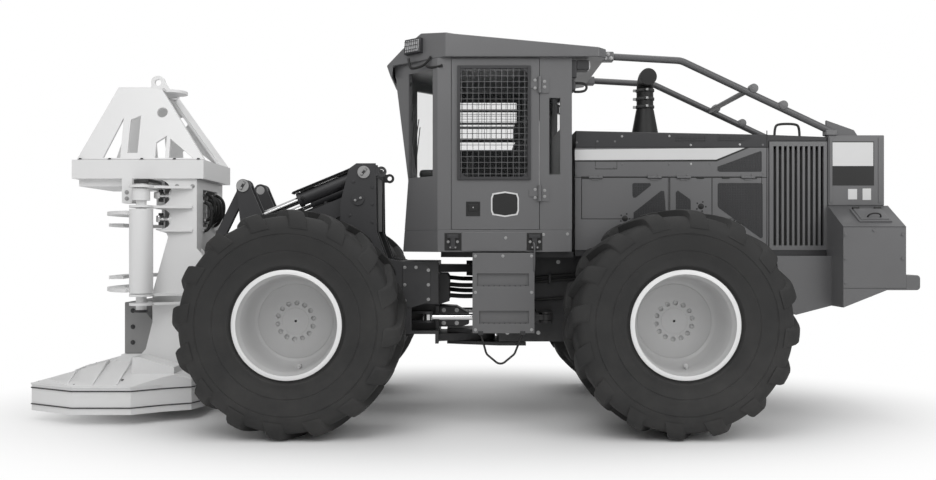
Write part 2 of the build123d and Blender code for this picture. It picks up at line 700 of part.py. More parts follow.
def make_cab():
    outer = cab_shell(0)
    inner = cab_shell(cab_wall)
    walls = outer - inner
    low = block(-2000, 2000, -2000, 2000, cab_floor_z - 1, door_low_z)
    high = block(-2000, 2000, -2000, 2000, door_low_z, roof_z + 1)
    floor = (walls & low) + (outer & block(-2000, 2000, -2000, 2000, cab_floor_z,
                                           cab_floor_z + cab_floor_thick))
    write_part("cab_floor", floor)

    frame = walls & high
    door_cut = block(door_rear - swing_gap, door_front + swing_gap, cab_half - cab_wall - 30,
                     cab_half + 30, door_low_z - 1, roof_z + 1)
    corner, run = chamfer_prism(65, 395, cab_sill_z + 20, roof_z - 90, 90)
    windows = [
        corner, mirrored(corner),
        block(550, 1000, -330, 330, cab_sill_z + 20, roof_z - 90),
        block(-655, -560, cab_half - 90, cab_half + 90, 2140, 2800),
        block(-655, -560, -cab_half - 90, -cab_half + 90, 2140, 2800),
        block(-389, 219, -cab_half - 90, -cab_half + 90, 2105, 3064),
        block(cab_rear - 90, cab_rear + 90, -480, 480, 2600, 3040),
    ]
    glass = []
    pane_shell = cab_shell(20) - cab_shell(20 + glass_thick)
    for window in windows:
        frame -= window
        glass.append(pane_shell & window)
    frame -= door_cut
    leaf_low = door_hinge_x - 80
    for z in (1980, 2910):
        frame += block(leaf_low, door_hinge_x - 18, cab_half - 1, cab_half + 8, z - 70, z + 70)
        for a, b in ((z - 70, z - 30), (z + 30, z + 70)):
            frame += cyl_z(door_hinge_x, door_hinge_y, a, b, 16)
            frame += block(leaf_low, door_hinge_x - 4, cab_half - 1, cab_half + 8, a, b)
        frame += cyl_z(door_hinge_x, door_hinge_y, z - 60, z + 60, 7)
    write_part("cab_frame", frame)
    write_part("cab_glass", glass)

    door = block(door_rear, door_front, cab_half - cab_wall, cab_half, door_low_z + 3, roof_z - 5)
    door -= block(-389, 219, cab_half - cab_wall - 1, cab_half + 1, 2105, 3064)
    for z in (1980, 2910):
        door += block(door_hinge_x + 4, door_hinge_x + 90, cab_half - 1, cab_half + 8, z - 29, z + 29)
        door += cyl_z(door_hinge_x, door_hinge_y, z - 29.7, z + 29.7, 16)
        door -= cyl_z(door_hinge_x, door_hinge_y, z - 31, z + 31, 7 + run_gap)
    write_part("cab_door", door)
    write_part("door_glass", block(-389, 219, cab_half - 26, cab_half - 20, 2105, 3064))

    profile = side_plan(
        [(roof_rear, roof_z), (roof_rear, 3220), (255, 3341), (548, 3387), (722, 3280), (873, 3158),
         (835, 3050), (818, 3050), (cab_head_x + 6, roof_z)], -800, 800)
    plan = floor_plan(
        [(roof_rear, 740), (roof_rear + 70, 800), (330, 800), (873, 330), (873, -330), (330, -800),
         (roof_rear + 70, -800), (roof_rear, -740)], 3000, 3500)
    write_part("cab_roof", profile & plan)

    seat = block(-330, 190, -260, 260, 1900, 2010) + block(-400, -270, -250, 250, 1960, 2680)
    seat += block(-250, 100, -180, 180, cab_floor_z + cab_floor_thick, 1910)
    write_part("cab_seat", seat)


def make_steps():
    panel = block(-430, 100, cab_half, cab_half + 40, 780, cab_floor_z - 6)
    for x_high, z in ((60, 1180), (40, 860)):
        panel -= block(-380, x_high, cab_half + 14, cab_half + 60, z, z + 110)
    for x in (-400, -140):
        panel += block(x, x + 40, frame_half, cab_half + 5, 1290, 1400)
    write_part("ladder", panel)
    loop = tube_path([(30, cab_half + 20, 776), (-20, cab_half + 20, 600),
                      (-140, cab_half + 20, 500), (-260, cab_half + 20, 600),
                      (-330, cab_half + 20, 776)], 60, 9)
    write_part("step_loop", loop)


def make_hood():
    walls = block(hood_rear, hood_front, -hood_half, hood_half, deck_z, band_z)
    walls -= block(hood_rear + hood_wall, hood_front - hood_wall, -hood_half + hood_wall,
                   hood_half - hood_wall, deck_z - 1, band_z + 1)
    leaf = 22.0
    spans = (("front", door_seam + 8, hood_front - 58), ("rear", hood_rear + 60, door_seam - 8))
    for place, x_low, x_high in spans:
        for side, sign in (("left", 1), ("right", -1)):
            a, b = sorted((sign * (hood_half - hood_wall - 5), sign * (hood_half + 5)))
            walls -= block(x_low - swing_gap, x_high + swing_gap, a, b,
                           door_edge_z - swing_gap, door_top_z + swing_gap)
            c, d = sorted((sign * (hood_half - leaf), sign * hood_half))
            door = block(x_low, x_high, c, d, door_edge_z, door_top_z)
            for x in (x_low + 120, x_high - 120):
                hinge_y = sign * (hood_half + 9)
                door += cyl_x(x - 30, x + 30, hinge_y, door_top_z - 4, 9)
                e, f = sorted((sign * (hood_half - 2), sign * (hood_half + 4)))
                door += block(x - 30, x + 30, e, f, door_top_z - 30, door_top_z - 4)
                door -= cyl_x(x - 31, x + 31, hinge_y, door_top_z - 4, 4 + run_gap)
                walls += cyl_x(x - 60, x - 30 - run_gap, hinge_y, door_top_z - 4, 9)
                walls += cyl_x(x + 30 + run_gap, x + 60, hinge_y, door_top_z - 4, 9)
                walls += cyl_x(x - 60, x + 60, hinge_y, door_top_z - 4, 4)
                for g, h in ((x - 60, x - 30 - run_gap), (x + 30 + run_gap, x + 60)):
                    walls += block(g, h, *sorted((sign * hood_half, sign * (hood_half + 6))),
                                   door_top_z - 4, door_top_z + 25)
            write_part(f"engine_door_{place}_{side}", door)
    write_part("hood_shell", walls)

    top = side_plan(
        [(hood_front, band_z), (hood_front, hood_top_z), (hood_rear + 10, 2500),
         (tank_front, hood_top_rear_z), (tank_front, louvre_top_z), (hood_rear - 5, louvre_top_z),
         (hood_rear - 5, band_z)], -hood_half, hood_half)
    top += cyl_z(stack_x, 0, 2500, 2545, 150)
    write_part("hood_top", top)

    guards = []
    for sign in (1, -1):
        a, b = sorted((sign * 578, sign * 606))
        guard = block(louvre_rear + 5, hood_rear - 10, a, b, deck_z, louvre_top_z)
        pitch = 46.0
        for index in range(10):
            x = louvre_rear + 35 + index * pitch
            guard -= block(x, x + 26, a - 1, b + 1, deck_z + 40, louvre_top_z - 40)
        guards.append(guard)
    write_part("side_louvres", guards)

    tower = block(tower_rear, tank_front - 5, -620, 620, tank_crown_z, 2494)
    tower += block(tower_rear - 30, tower_rear, -540, 540, 1930, 2440)
    write_part("rear_tower", tower)

    tank = block(tank_rear, tank_front, -tank_half, tank_half, tank_low_z, tank_top_z)
    tank += cross_plan([(-tank_half, tank_top_z - 1), (-620, tank_crown_z), (620, tank_crown_z),
                        (tank_half, tank_top_z - 1)], tank_rear, tank_front)
    tank += side_plan([(tank_rear + 160, tank_low_z), (tank_front, 1010), (tank_front, tank_low_z + 1)],
                      -tank_half, tank_half)
    for sign in (1, -1):
        a, b = sorted((sign * frame_half, sign * pod_half))
        tank += side_plan([(tank_front - 1, 1010), (tank_front + 305, tail_belly_z),
                           (tank_front + 445, 1150), (tank_front + 475, frame_top - 1), (tank_front - 1, frame_top - 1)], a, b)
    write_part("rear_tank", tank)
    bumper = block(-rear_reach, tank_rear, -tank_half, tank_half, tank_low_z, tank_low_z + bumper_height)
    bumper = fillet(bumper.edges().filter_by(Axis.Y).sort_by(Axis.X)[:2], 30)
    write_part("rear_bumper", bumper)
    hitch = block(tank_rear, tank_rear + 150, -60, 60, 1050, tank_low_z)
    for z in (1050, tank_low_z - 30):
        hitch += block(-rear_reach + 10, tank_rear + 100, -60, 60, z, z + 25)
    hitch -= cyl_z(-rear_reach + 60, 0, 1000, tank_low_z - 1, 22)
    write_part("tow_hitch", hitch)


def make_top_gear():
    stack = Pos(stack_x, 0, 2545) * Cone(130, 82, 260, align=(Align.CENTER, Align.CENTER, Align.MIN))
    stack += tube_path([(stack_x, 0, 2800), (stack_x, 0, 3090), (stack_x, 170, 3090)], 110, 78)
    write_part("exhaust_stack", stack)
    rails = []
    rail_end = tank_front + 25
    for sign in (1, -1):
        y = sign * 590
        rail = tube_path([(roof_rear - 3, y, 3188), (-1730, y, 3150), (rail_end, y, 2560)], 180, 30)
        foot = side_plan([(tank_front + 5, 2494), (tank_front - 265, 2494), (tank_front - 235, 2540),
                          (tank_front + 5, 2625)], *sorted((sign * 575, sign * 605)))
        rails.append(rail + foot + rod_between((rail_end, y, 2560), (rail_end - 50, y, 2536), 30))
    cross_x = hood_rear + 190
    cross_z = 3150 + (2560 - 3150) * (cross_x + 1730) / (rail_end + 1730)
    cross = rod_between((cross_x, -590, cross_z), (cross_x, 590, cross_z), 24)
    write_part("brush_rails", rails[0] + rails[1] + cross)


def make_mast():
    front = [(chest_x, 1105), (chest_x, 845), (3020, 604), (foot_front, foot_top_z)]
    outer = [(mast_rear, mast_foot_z), (mast_rear, beam_z), (mast_front, beam_z),
             (mast_front, 1670), (2835, 1640), (2820, waist_low_z)] + front + [
                 (foot_front, mast_foot_z)]
    wall = mast_wall
    inner = [(mast_rear + wall, mast_foot_z - 1), (mast_rear + wall, beam_z + 1),
             (mast_front - wall, beam_z + 1), (mast_front - wall, 1690), (2812, 1662),
             (2790, waist_low_z), (chest_x - wall, 1101), (chest_x - wall, 841), (2993, 590),
             (foot_front - wall, 546), (foot_front - wall, mast_foot_z - 1)]
    mast = side_plan(outer, -mast_half, mast_half)
    mast -= side_plan(inner, -mast_half + wall, mast_half - wall)
    mast += block(mast_rear + 5, mast_front - 5, -12, 12, 1650, beam_z)
    for sign in (1, -1):
        # Two notches with round ends let the clamp cylinders reach their arms.
        low, high = sorted((sign * 270, sign * (mast_half + 5)))
        for z, x, radius in ((2001.5, 2907, 117), (1767.5, 2880, 88)):
            notch = block(x, mast_front + 5, low, high, z - radius, z + radius)
            mast -= notch + cyl_y(x, low, high, z, radius)
    mast -= block(mast_rear - 5, mast_rear + wall + 5, -240, 240, 1700, 2040)
    mast += ears(head_pivot, 72, mast_rear + 2, head_pivot[1] - 190, head_pivot[1] + 190)
    mast += ears(link_foot, 66, mast_rear + 2, link_foot[1] - 150, link_foot[1] + 150)
    for sign in (1, -1):
        low, high = sorted((sign * (link_y - 90), sign * (link_y + 90)))
        mast += cyl_y(link_foot[0], low, high, link_foot[1], link_pin)
        edge = mast_half - 20
        # Flange plates from the mast to the clamp pin, and a rib beside the arm.
        for z_low, z_high in ((clamp_top_z + 10, clamp_top_z + 32), (2036, 2058), (1084, 1106),
                              (1006, 1028)):
            plan = [(2600, edge), (2600, mast_half + 25), (2900, clamp_y - 30),
                    (clamp_x, clamp_y - 60), (clamp_x, edge)]
            mast += floor_plan([(x, sign * y) for x, y in plan], z_low, z_high)
            mast += cyl_z(clamp_x, sign * clamp_y, z_low, z_high, clamp_tube)
        rib = [(2600, edge), (2600, mast_half + 25), (2870, mast_half + 60), (2870, edge)]
        mast += floor_plan([(x, sign * y) for x, y in rib], 1653, 1673)
        mast += cyl_z(clamp_x, sign * clamp_y, 1925, 2026, 75)
        mast += cyl_z(clamp_x, sign * clamp_y, 960, 2085, clamp_pin)
    write_part("head_mast", mast)


def make_guard():
    outline = [(2500, 0), (3636, 0), (3330, 700), (2930, 672)]
    openings = [
        [(3406, 12), (3250, 12), (3256, 400)], [(3190, 60), (3100, 60), (3100, 420), (3190, 380)],
        [(2940, 12), (2850, 12), (2850, 225), (2940, 160)], [(2815, 12), (2600, 12), (2815, 195)],
    ]
    guard = None
    for sign in (1, -1):
        plate = side_plan(outline, 0, guard_thick)
        for points in openings:
            plate -= side_plan(points, -1, guard_thick + 1)
        plate -= cyl_y(2910, -1, guard_thick + 1, 450, 48)
        # A strip closes the sloped rear edge inboard of each plate.
        low, high = (-140, 0) if sign > 0 else (guard_thick, guard_thick + 140)
        plate += side_plan([(2500, 0), (2532, 0), (2962, 672), (2930, 672)], low, high)
        base = sign * mast_half - (guard_thick if sign > 0 else 0)
        plate = Pos(0, base, beam_top_z) * Rot(sign * guard_lean, 0, 0) * plate
        guard = plate if guard is None else guard + plate
    top = beam_top_z + 655
    guard += block(2930, 3320, -250, 250, top, top + 25) + cyl_z(2930, 0, top, top + 25, 150)
    guard -= block(2000, 4000, -1000, 1000, beam_top_z - 200, beam_top_z)
    write_part("head_guard", guard)
    eye = side_plan([(2930, 2976), (3125, 2976), (3110, 3040), (3000, 3090)], -18, 18)
    eye += cyl_y(3050, -18, 18, 3060, 66)
    eye -= cyl_y(3050, -19, 19, 3060, 30)
    write_part("lifting_eye", eye)


def make_saw_housing():
    plan = [(2500, 450), (2560, 600), (2780, 700), (3000, shoe_half), (3500, shoe_half),
            (front_reach, 620), (front_reach, 500), (3560, 470)]
    outline = plan + [(x, -y) for x, y in reversed(plan)]
    top = cover_z + cover_thick
    shoe = floor_plan(outline, skid_z, skid_z + skid_thick) + floor_plan(outline, cover_z, top)
    wall = floor_plan(outline, skid_z, top)
    wall -= cyl_z(saw_x, 0, skid_z + skid_thick, cover_z, saw_radius + 45)
    wall -= block(saw_x, front_reach + 10, -470, 470, skid_z + skid_thick, cover_z)
    shoe += wall
    # The cover rises from its rim to the foot of the mast.
    side = [(2520, top - 1), (2520, top + 15), (foot_front, 547), (3170, 547), (3790, 371),
            (front_reach - 10, top + 1), (front_reach - 10, top - 1)]
    cross = [(-shoe_half, top - 1), (-mast_half, 500), (mast_half, 500), (shoe_half, top - 1)]
    hump = floor_plan(outline, top - 1, foot_top_z) & side_plan(side, -shoe_half, shoe_half)
    hump = hump & cross_plan(cross, 2400, front_reach)
    shoe += hump
    shoe += side_plan([(foot_front, top), (foot_front, foot_top_z), (3220, foot_top_z),
                       (3420, 420), (3555, top)], -mast_half, mast_half)
    for sign in (1, -1):
        a, b = sorted((sign * mast_half, sign * 640))
        shoe += side_plan([(2700, top - 1), (2700, 470), (2990, 555), (foot_front, 555),
                           (3085, top - 1)], a, b)
    shoe -= block(mast_rear - 60, foot_front, -mast_half, mast_half, top, foot_top_z + 1)
    shoe -= cyl_z(saw_x, 0, 150, cover_z + 200, 70 + run_gap)
    write_part("saw_housing", shoe)

    disc = cyl_z(saw_x, 0, saw_z, saw_z + saw_thick, saw_radius - 40)
    for index in range(18):
        tooth = block(saw_radius - 70, saw_radius, -26, 22, saw_z - 6, saw_z + saw_thick + 6)
        disc += Pos(saw_x, 0, 0) * Rot(0, 0, index * 20) * tooth
    disc += cyl_z(saw_x, 0, saw_z, cover_z + 190, 70)
    write_part("saw_disc", disc)


def make_clamp_arms():
    # The hooks close in front of the mast, each side's at levels of its own.
    back = [(3100, 700), (3240, 610), (3350, 450), (3425, 260), (3440, 80), (3420, -250)]
    front = [(3300, -220), (3315, -50), (3310, 100), (3270, 260), (3150, 440), (3020, 500)]
    for side, sign in (("left", 1), ("right", -1)):
        arm = cyl_z(clamp_x, sign * clamp_y, clamp_low_z, clamp_top_z, clamp_tube)
        outer = Spline(*[(x, sign * y, 0) for x, y in back])
        inner = Spline(*[(x, sign * y, 0) for x, y in front])
        edges = [outer, Line(outer @ 1, inner @ 0), inner, Line(inner @ 1, outer @ 0)]
        hook = make_face(edges)
        for z in (1122, 1800) if sign > 0 else (1222, 1700):
            arm += extrude(Pos(0, 0, z) * hook, hook_thick, dir=(0, 0, 1))
        arm -= cyl_z(clamp_x, sign * clamp_y, clamp_low_z - 5, clamp_top_z + 5, clamp_pin + run_gap)
        write_part(f"clamp_arm_{side}", arm)


def make_head():
    make_mast()
    beam = block(beam_rear, beam_front, -beam_half, beam_half, beam_z, beam_top_z)
    beam -= block(mast_front + 60, beam_front - 60, -beam_half + 60, beam_half - 60,
                  beam_z - 1, beam_top_z - 20)
    # A stop box hangs under the beam, with a bearing box beside each clamp pin.
    beam += block(clamp_x + 140, beam_front - 40, -400, 400, 2060, beam_z + 1)
    for sign in (1, -1):
        low, high = sorted((sign * 385, sign * 520))
        beam += block(clamp_x + 110, clamp_x + 200, low, high, 1905, beam_z + 1)
    write_part("head_beam", beam)
    make_guard()
    make_saw_housing()
    write_part("butt_plate", side_plan(
        [(3090, 1020), (chest_x, 845), (3020, 604), (foot_front, foot_top_z), (3220, foot_top_z),
         (3220, 1020)], -400, 400))
    make_clamp_arms()


def make_tie_eyes():
    eyes = []
    for sign in (1, -1):
        a, b = sorted((sign * (tower_out - tower_plate), sign * tower_out))
        eye = cyl_y(910, a, b, 2190, 45) + block(910, 959.4, a, b, 2150, 2230)
        eye -= cyl_y(910, a - 1, b + 1, 2190, 22)
        eyes.append(eye)
    write_part("tie_eyes", eyes)


os.makedirs("parts", exist_ok=True)
make_wheels()
make_axles()
make_rear_frame()
make_front_frame()
make_linkage()
make_steering()
make_cab()
make_steps()
make_hood()
make_top_gear()
make_head()
make_tie_eyes()
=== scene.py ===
import bpy
import math
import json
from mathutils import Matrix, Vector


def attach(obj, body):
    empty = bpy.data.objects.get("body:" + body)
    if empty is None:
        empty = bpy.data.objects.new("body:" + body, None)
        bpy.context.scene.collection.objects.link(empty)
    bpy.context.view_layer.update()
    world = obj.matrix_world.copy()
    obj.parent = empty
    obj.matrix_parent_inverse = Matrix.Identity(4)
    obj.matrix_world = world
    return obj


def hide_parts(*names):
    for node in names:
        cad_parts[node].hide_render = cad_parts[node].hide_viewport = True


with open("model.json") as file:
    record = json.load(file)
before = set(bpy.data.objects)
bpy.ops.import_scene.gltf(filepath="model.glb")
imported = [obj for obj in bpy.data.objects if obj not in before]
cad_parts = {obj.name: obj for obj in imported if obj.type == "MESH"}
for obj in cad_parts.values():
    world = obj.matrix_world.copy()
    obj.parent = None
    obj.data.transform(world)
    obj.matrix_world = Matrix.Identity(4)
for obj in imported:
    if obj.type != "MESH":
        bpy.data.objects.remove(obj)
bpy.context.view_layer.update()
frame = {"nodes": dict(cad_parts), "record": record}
nodes = frame["nodes"]
pinX = -0.15  # hinge pin between the two frames, in the row frame
print("frame loaded", len(nodes))


# A few helpers for working as by hand

def deselectAll():
    if bpy.context.object and bpy.context.object.mode != "OBJECT":
        bpy.ops.object.mode_set(mode="OBJECT")
    bpy.ops.object.select_all(action="DESELECT")


def pick(obj):
    deselectAll()
    obj.select_set(True)
    bpy.context.view_layer.objects.active = obj


def settle(obj):
    # Place, turn and scale go into the mesh, so the object sits at the origin
    pick(obj)
    bpy.ops.object.transform_apply(location=True, rotation=True, scale=True)
    return obj


def applyAll(obj):
    pick(obj)
    for mod in list(obj.modifiers):
        bpy.ops.object.modifier_apply(modifier=mod.name)
    return obj


def bevelEdges(obj, width, segments=2, angle=35):
    mod = obj.modifiers.new("edges", "BEVEL")
    mod.width = width
    mod.segments = segments
    mod.limit_method = "ANGLE"
    mod.angle_limit = math.radians(angle)
    return applyAll(obj)


def smoothByAngle(obj, angle=35):
    pick(obj)
    bpy.ops.object.shade_smooth_by_angle(angle=math.radians(angle))
    return obj


def joinAll(objs, name):
    deselectAll()
    for obj in objs:
        obj.select_set(True)
    bpy.context.view_layer.objects.active = objs[0]
    if len(objs) > 1:
        bpy.ops.object.join()
    joined = bpy.context.object
    joined.name = name
    joined.data.name = name
    return joined


def copyOf(obj, name, move=(0, 0, 0)):
    twin = obj.copy()
    twin.data = obj.data.copy()
    twin.name = name
    bpy.context.scene.collection.objects.link(twin)
    twin.location = move
    return settle(twin)


def bar(name, low, high, round=0.004):
    # A block between two corners, with its edges eased
    size = [high[i] - low[i] for i in range(3)]
    mid = [(high[i] + low[i]) / 2 for i in range(3)]
    bpy.ops.mesh.primitive_cube_add(size=1, location=mid)
    obj = bpy.context.object
    obj.scale = size
    obj.name = name
    settle(obj)
    return bevelEdges(obj, min(round, min(size) * 0.4))


def plate(name, outline, low, high, across="y", round=0.004):
    # A cut plate from its outline, between two faces along one axis
    curve = bpy.data.curves.new(name, "CURVE")
    curve.dimensions = "2D"
    curve.fill_mode = "BOTH"
    curve.extrude = (high - low) / 2
    spline = curve.splines.new("POLY")
    spline.points.add(len(outline) - 1)
    for point, (u, v) in zip(spline.points, outline):
        point.co = (u, v, 0, 1)
    spline.use_cyclic_u = True
    obj = bpy.data.objects.new(name, curve)
    bpy.context.scene.collection.objects.link(obj)
    pick(obj)
    bpy.ops.object.convert(target="MESH")
    obj = bpy.context.object
    mid = (low + high) / 2
    if across == "y":
        obj.rotation_euler = (math.pi / 2, 0, 0)
        obj.location = (0, mid, 0)
    elif across == "x":
        obj.rotation_euler = (math.pi / 2, 0, math.pi / 2)
        obj.location = (mid, 0, 0)
    else:
        obj.location = (0, 0, mid)
    settle(obj)
    bpy.ops.object.mode_set(mode="EDIT")
    bpy.ops.mesh.select_all(action="SELECT")
    bpy.ops.mesh.remove_doubles(threshold=0.00005)
    bpy.ops.mesh.normals_make_consistent(inside=False)
    bpy.ops.object.mode_set(mode="OBJECT")
    return bevelEdges(obj, round) if round else obj


def pipe(name, points, radius, smooth=True, sides=3):
    # A bent tube along points: a NURBS path when smooth, straight runs when not
    curve = bpy.data.curves.new(name, "CURVE")
    curve.dimensions = "3D"
    curve.bevel_depth = radius
    curve.bevel_resolution = sides
    curve.use_fill_caps = True
    curve.resolution_u = 6
    spline = curve.splines.new("NURBS" if smooth else "POLY")
    spline.points.add(len(points) - 1)
    for point, co in zip(spline.points, points):
        point.co = (*co, 1)
    if smooth:
        spline.order_u = 3
        spline.use_endpoint_u = True
    obj = bpy.data.objects.new(name, curve)
    bpy.context.scene.collection.objects.link(obj)
    pick(obj)
    bpy.ops.object.convert(target="MESH")
    return smoothByAngle(bpy.context.object, 40)


def drum(name, start, axis, radius, length, sides=32, round=0.004):
    # A turned disc or boss from a start point along an axis
    turns = {"x": (0, math.pi / 2, 0), "y": (math.pi / 2, 0, 0), "z": (0, 0, 0)}
    step = {"x": (1, 0, 0), "y": (0, 1, 0), "z": (0, 0, 1)}[axis]
    mid = [start[i] + step[i] * length / 2 for i in range(3)]
    bpy.ops.mesh.primitive_cylinder_add(
        vertices=sides, radius=radius, depth=abs(length), location=mid, rotation=turns[axis])
    obj = bpy.context.object
    obj.name = name
    settle(obj)
    bevelEdges(obj, min(round, abs(length) * 0.4))
    return smoothByAngle(obj)


# Shared effects, each a node group with named sockets

def newGroup(name, inputs, outputs):
    group = bpy.data.node_groups.new(name, "ShaderNodeTree")
    for label, kind, value in inputs:
        socket = group.interface.new_socket(name=label, in_out="INPUT", socket_type=kind)
        socket.default_value = value
    for label, kind in outputs:
        group.interface.new_socket(name=label, in_out="OUTPUT", socket_type=kind)
    group.nodes.new("NodeGroupInput").location = (-900, 0)
    group.nodes.new("NodeGroupOutput").location = (600, 0)
    return group


def put(tree, kind, place=(0, 0), **settings):
    node = tree.nodes.new(kind)
    node.location = place
    for key, value in settings.items():
        setattr(node, key, value)
    return node


def give(node, *rows):
    # Values for a node's input sockets
    for label, value in rows:
        node.inputs[label].default_value = value


def wire(tree, source, sourceSocket, target, targetSocket):
    tree.links.new(source.outputs[sourceSocket], target.inputs[targetSocket])


def makeEdgeWearAndHighlight():
    # Where two faces meet at a corner, unevenly: a painted highlight along the edges, with a little rubbed
    # wear
    group = newGroup("edgeWearAndHighlight", [("Width", "NodeSocketFloat", 0.006), ("Breakup", "NodeSocketFloat", 6.0)],
                     [("Mask", "NodeSocketFloat")])
    start, end = group.nodes[0], group.nodes[1]
    geo = put(group, "ShaderNodeNewGeometry", (-700, -200))
    soft = put(group, "ShaderNodeBevel", (-700, 100), samples=4)
    wire(group, start, "Width", soft, "Radius")
    dot = put(group, "ShaderNodeVectorMath", (-480, 0), operation="DOT_PRODUCT")
    wire(group, soft, "Normal", dot, 0)
    wire(group, geo, "Normal", dot, 1)
    coords = put(group, "ShaderNodeTexCoord", (-700, -400))
    noise = put(group, "ShaderNodeTexNoise", (-480, -400))
    wire(group, coords, "Object", noise, "Vector")
    wire(group, start, "Breakup", noise, "Scale")
    give(noise, ("Detail", 6))
    ramp = put(group, "ShaderNodeMapRange", (-260, 0))
    give(ramp, ("From Min", 0.985), ("From Max", 0.86))
    wire(group, dot, "Value", ramp, "Value")
    patch = put(group, "ShaderNodeMapRange", (-260, -400))
    give(patch, ("From Min", 0.42), ("From Max", 0.62))
    wire(group, noise, "Fac", patch, "Value")
    both = put(group, "ShaderNodeMath", (0, 0), operation="MULTIPLY")
    wire(group, ramp, "Result", both, 0)
    wire(group, patch, "Result", both, 1)
    wire(group, both, "Value", end, "Mask")
    return group


def makeGrime():
    # Dust that thickens towards the ground and in patches
    group = newGroup("grime", [("Low", "NodeSocketFloat", 0.2), ("High", "NodeSocketFloat", 1.8),
                               ("Scale", "NodeSocketFloat", 3.0)], [("Mask", "NodeSocketFloat")])
    start, end = group.nodes[0], group.nodes[1]
    coords = put(group, "ShaderNodeTexCoord", (-700, 0))
    split = put(group, "ShaderNodeSeparateXYZ", (-480, 100))
    wire(group, coords, "Object", split, "Vector")
    level = put(group, "ShaderNodeMapRange", (-260, 100))
    wire(group, split, "Z", level, "Value")
    wire(group, start, "High", level, "From Min")
    wire(group, start, "Low", level, "From Max")
    noise = put(group, "ShaderNodeTexNoise", (-480, -200))
    give(noise, ("Detail", 8), ("Roughness", 0.65))
    wire(group, coords, "Object", noise, "Vector")
    wire(group, start, "Scale", noise, "Scale")
    patch = put(group, "ShaderNodeMapRange", (-260, -200))
    give(patch, ("From Min", 0.35), ("From Max", 0.75))
    wire(group, noise, "Fac", patch, "Value")
    both = put(group, "ShaderNodeMath", (0, 0), operation="MULTIPLY")
    wire(group, level, "Result", both, 0)
    wire(group, patch, "Result", both, 1)
    wire(group, both, "Value", end, "Mask")
    return group


def makeGrain():
    # Fine surface texture: a height for the bump and a value for the gloss
    group = newGroup("grain", [("Scale", "NodeSocketFloat", 400.0), ("Broad", "NodeSocketFloat", 2.0)],
                     [("Height", "NodeSocketFloat"), ("Patch", "NodeSocketFloat")])
    start, end = group.nodes[0], group.nodes[1]
    coords = put(group, "ShaderNodeTexCoord", (-700, 0))
    fine = put(group, "ShaderNodeTexNoise", (-480, 100))
    give(fine, ("Detail", 3))
    wire(group, coords, "Object", fine, "Vector")
    wire(group, start, "Scale", fine, "Scale")
    wide = put(group, "ShaderNodeTexNoise", (-480, -200))
    give(wide, ("Detail", 5))
    wire(group, coords, "Object", wide, "Vector")
    wire(group, start, "Broad", wide, "Scale")
    wire(group, fine, "Fac", end, "Height")
    wire(group, wide, "Fac", end, "Patch")
    return group


edgeWearAndHighlight = makeEdgeWearAndHighlight()
grime = makeGrime()
grain = makeGrain()


def finish(name, look):
    # One painted, cast or moulded finish from its values
    mat = bpy.data.materials.new(name)
    mat.use_nodes = True
    tree = mat.node_tree
    shader = tree.nodes["Principled BSDF"]
    base = look["colour"]
    dust = look.get("dust", (0.30, 0.29, 0.27))
    texture = put(tree, "ShaderNodeGroup", (-900, -200), node_tree=grain)
    give(texture, ("Scale", look.get("grainScale", 350)), ("Broad", look.get("broad", 1.6)))
    tint = put(tree, "ShaderNodeMix", (-600, 300), data_type="RGBA")
    tint.inputs[6].default_value = (*[c * (1 - look.get("shift", 0.08)) for c in base], 1)
    tint.inputs[7].default_value = (*[min(1, c * (1 + look.get("shift", 0.08))) for c in base], 1)
    wire(tree, texture, "Patch", tint, 0)
    # Corners take the edge colour: lighter on dark paints, a painted highlight with a little wear; darker on
    # the pale paints
    wearAndHighlight = put(tree, "ShaderNodeGroup", (-900, 100), node_tree=edgeWearAndHighlight)
    give(wearAndHighlight, ("Width", look.get("wearAndHighlightWidth", 0.005)))
    wornAndLit = put(tree, "ShaderNodeMix", (-400, 300), data_type="RGBA")
    wornAndLit.inputs[7].default_value = (*look.get("wornAndHighlightColour", [min(1, c * 2.2 + 0.02) for c in base]), 1)
    fade = put(tree, "ShaderNodeMath", (-600, 60), operation="MULTIPLY")
    fade.inputs[1].default_value = look.get("wearAndHighlight", 0.5)
    wire(tree, wearAndHighlight, "Mask", fade, 0)
    wire(tree, fade, "Value", wornAndLit, 0)
    wire(tree, tint, 2, wornAndLit, 6)
    dirt = put(tree, "ShaderNodeGroup", (-900, -500), node_tree=grime)
    give(dirt, ("High", look.get("dustTop", 1.6)))
    amount = put(tree, "ShaderNodeMath", (-600, -400), operation="MULTIPLY")
    amount.inputs[1].default_value = look.get("dustAmount", 0.12)
    wire(tree, dirt, "Mask", amount, 0)
    dusty = put(tree, "ShaderNodeMix", (-200, 300), data_type="RGBA")
    dusty.inputs[7].default_value = (*dust, 1)
    wire(tree, amount, "Value", dusty, 0)
    wire(tree, wornAndLit, 2, dusty, 6)
    wire(tree, dusty, 2, shader, "Base Color")
    gloss = put(tree, "ShaderNodeMapRange", (-400, -60))
    give(gloss, ("From Min", 0.25), ("From Max", 0.75),
         ("To Min", look["roughness"] - look.get("roughSpread", 0.06)),
         ("To Max", look["roughness"] + look.get("roughSpread", 0.06)))
    wire(tree, texture, "Patch", gloss, "Value")
    wire(tree, gloss, "Result", shader, "Roughness")
    bump = put(tree, "ShaderNodeBump", (-200, -300))
    give(bump, ("Strength", look.get("bump", 0.15)), ("Distance", look.get("bumpDepth", 0.0006)))
    wire(tree, texture, "Height", bump, "Height")
    wire(tree, bump, "Normal", shader, "Normal")
    give(shader, ("Metallic", look.get("metallic", 0)), ("Coat Weight", look.get("coat", 0)),
         ("Coat Roughness", look.get("coatRoughness", 0.2)))
    return mat
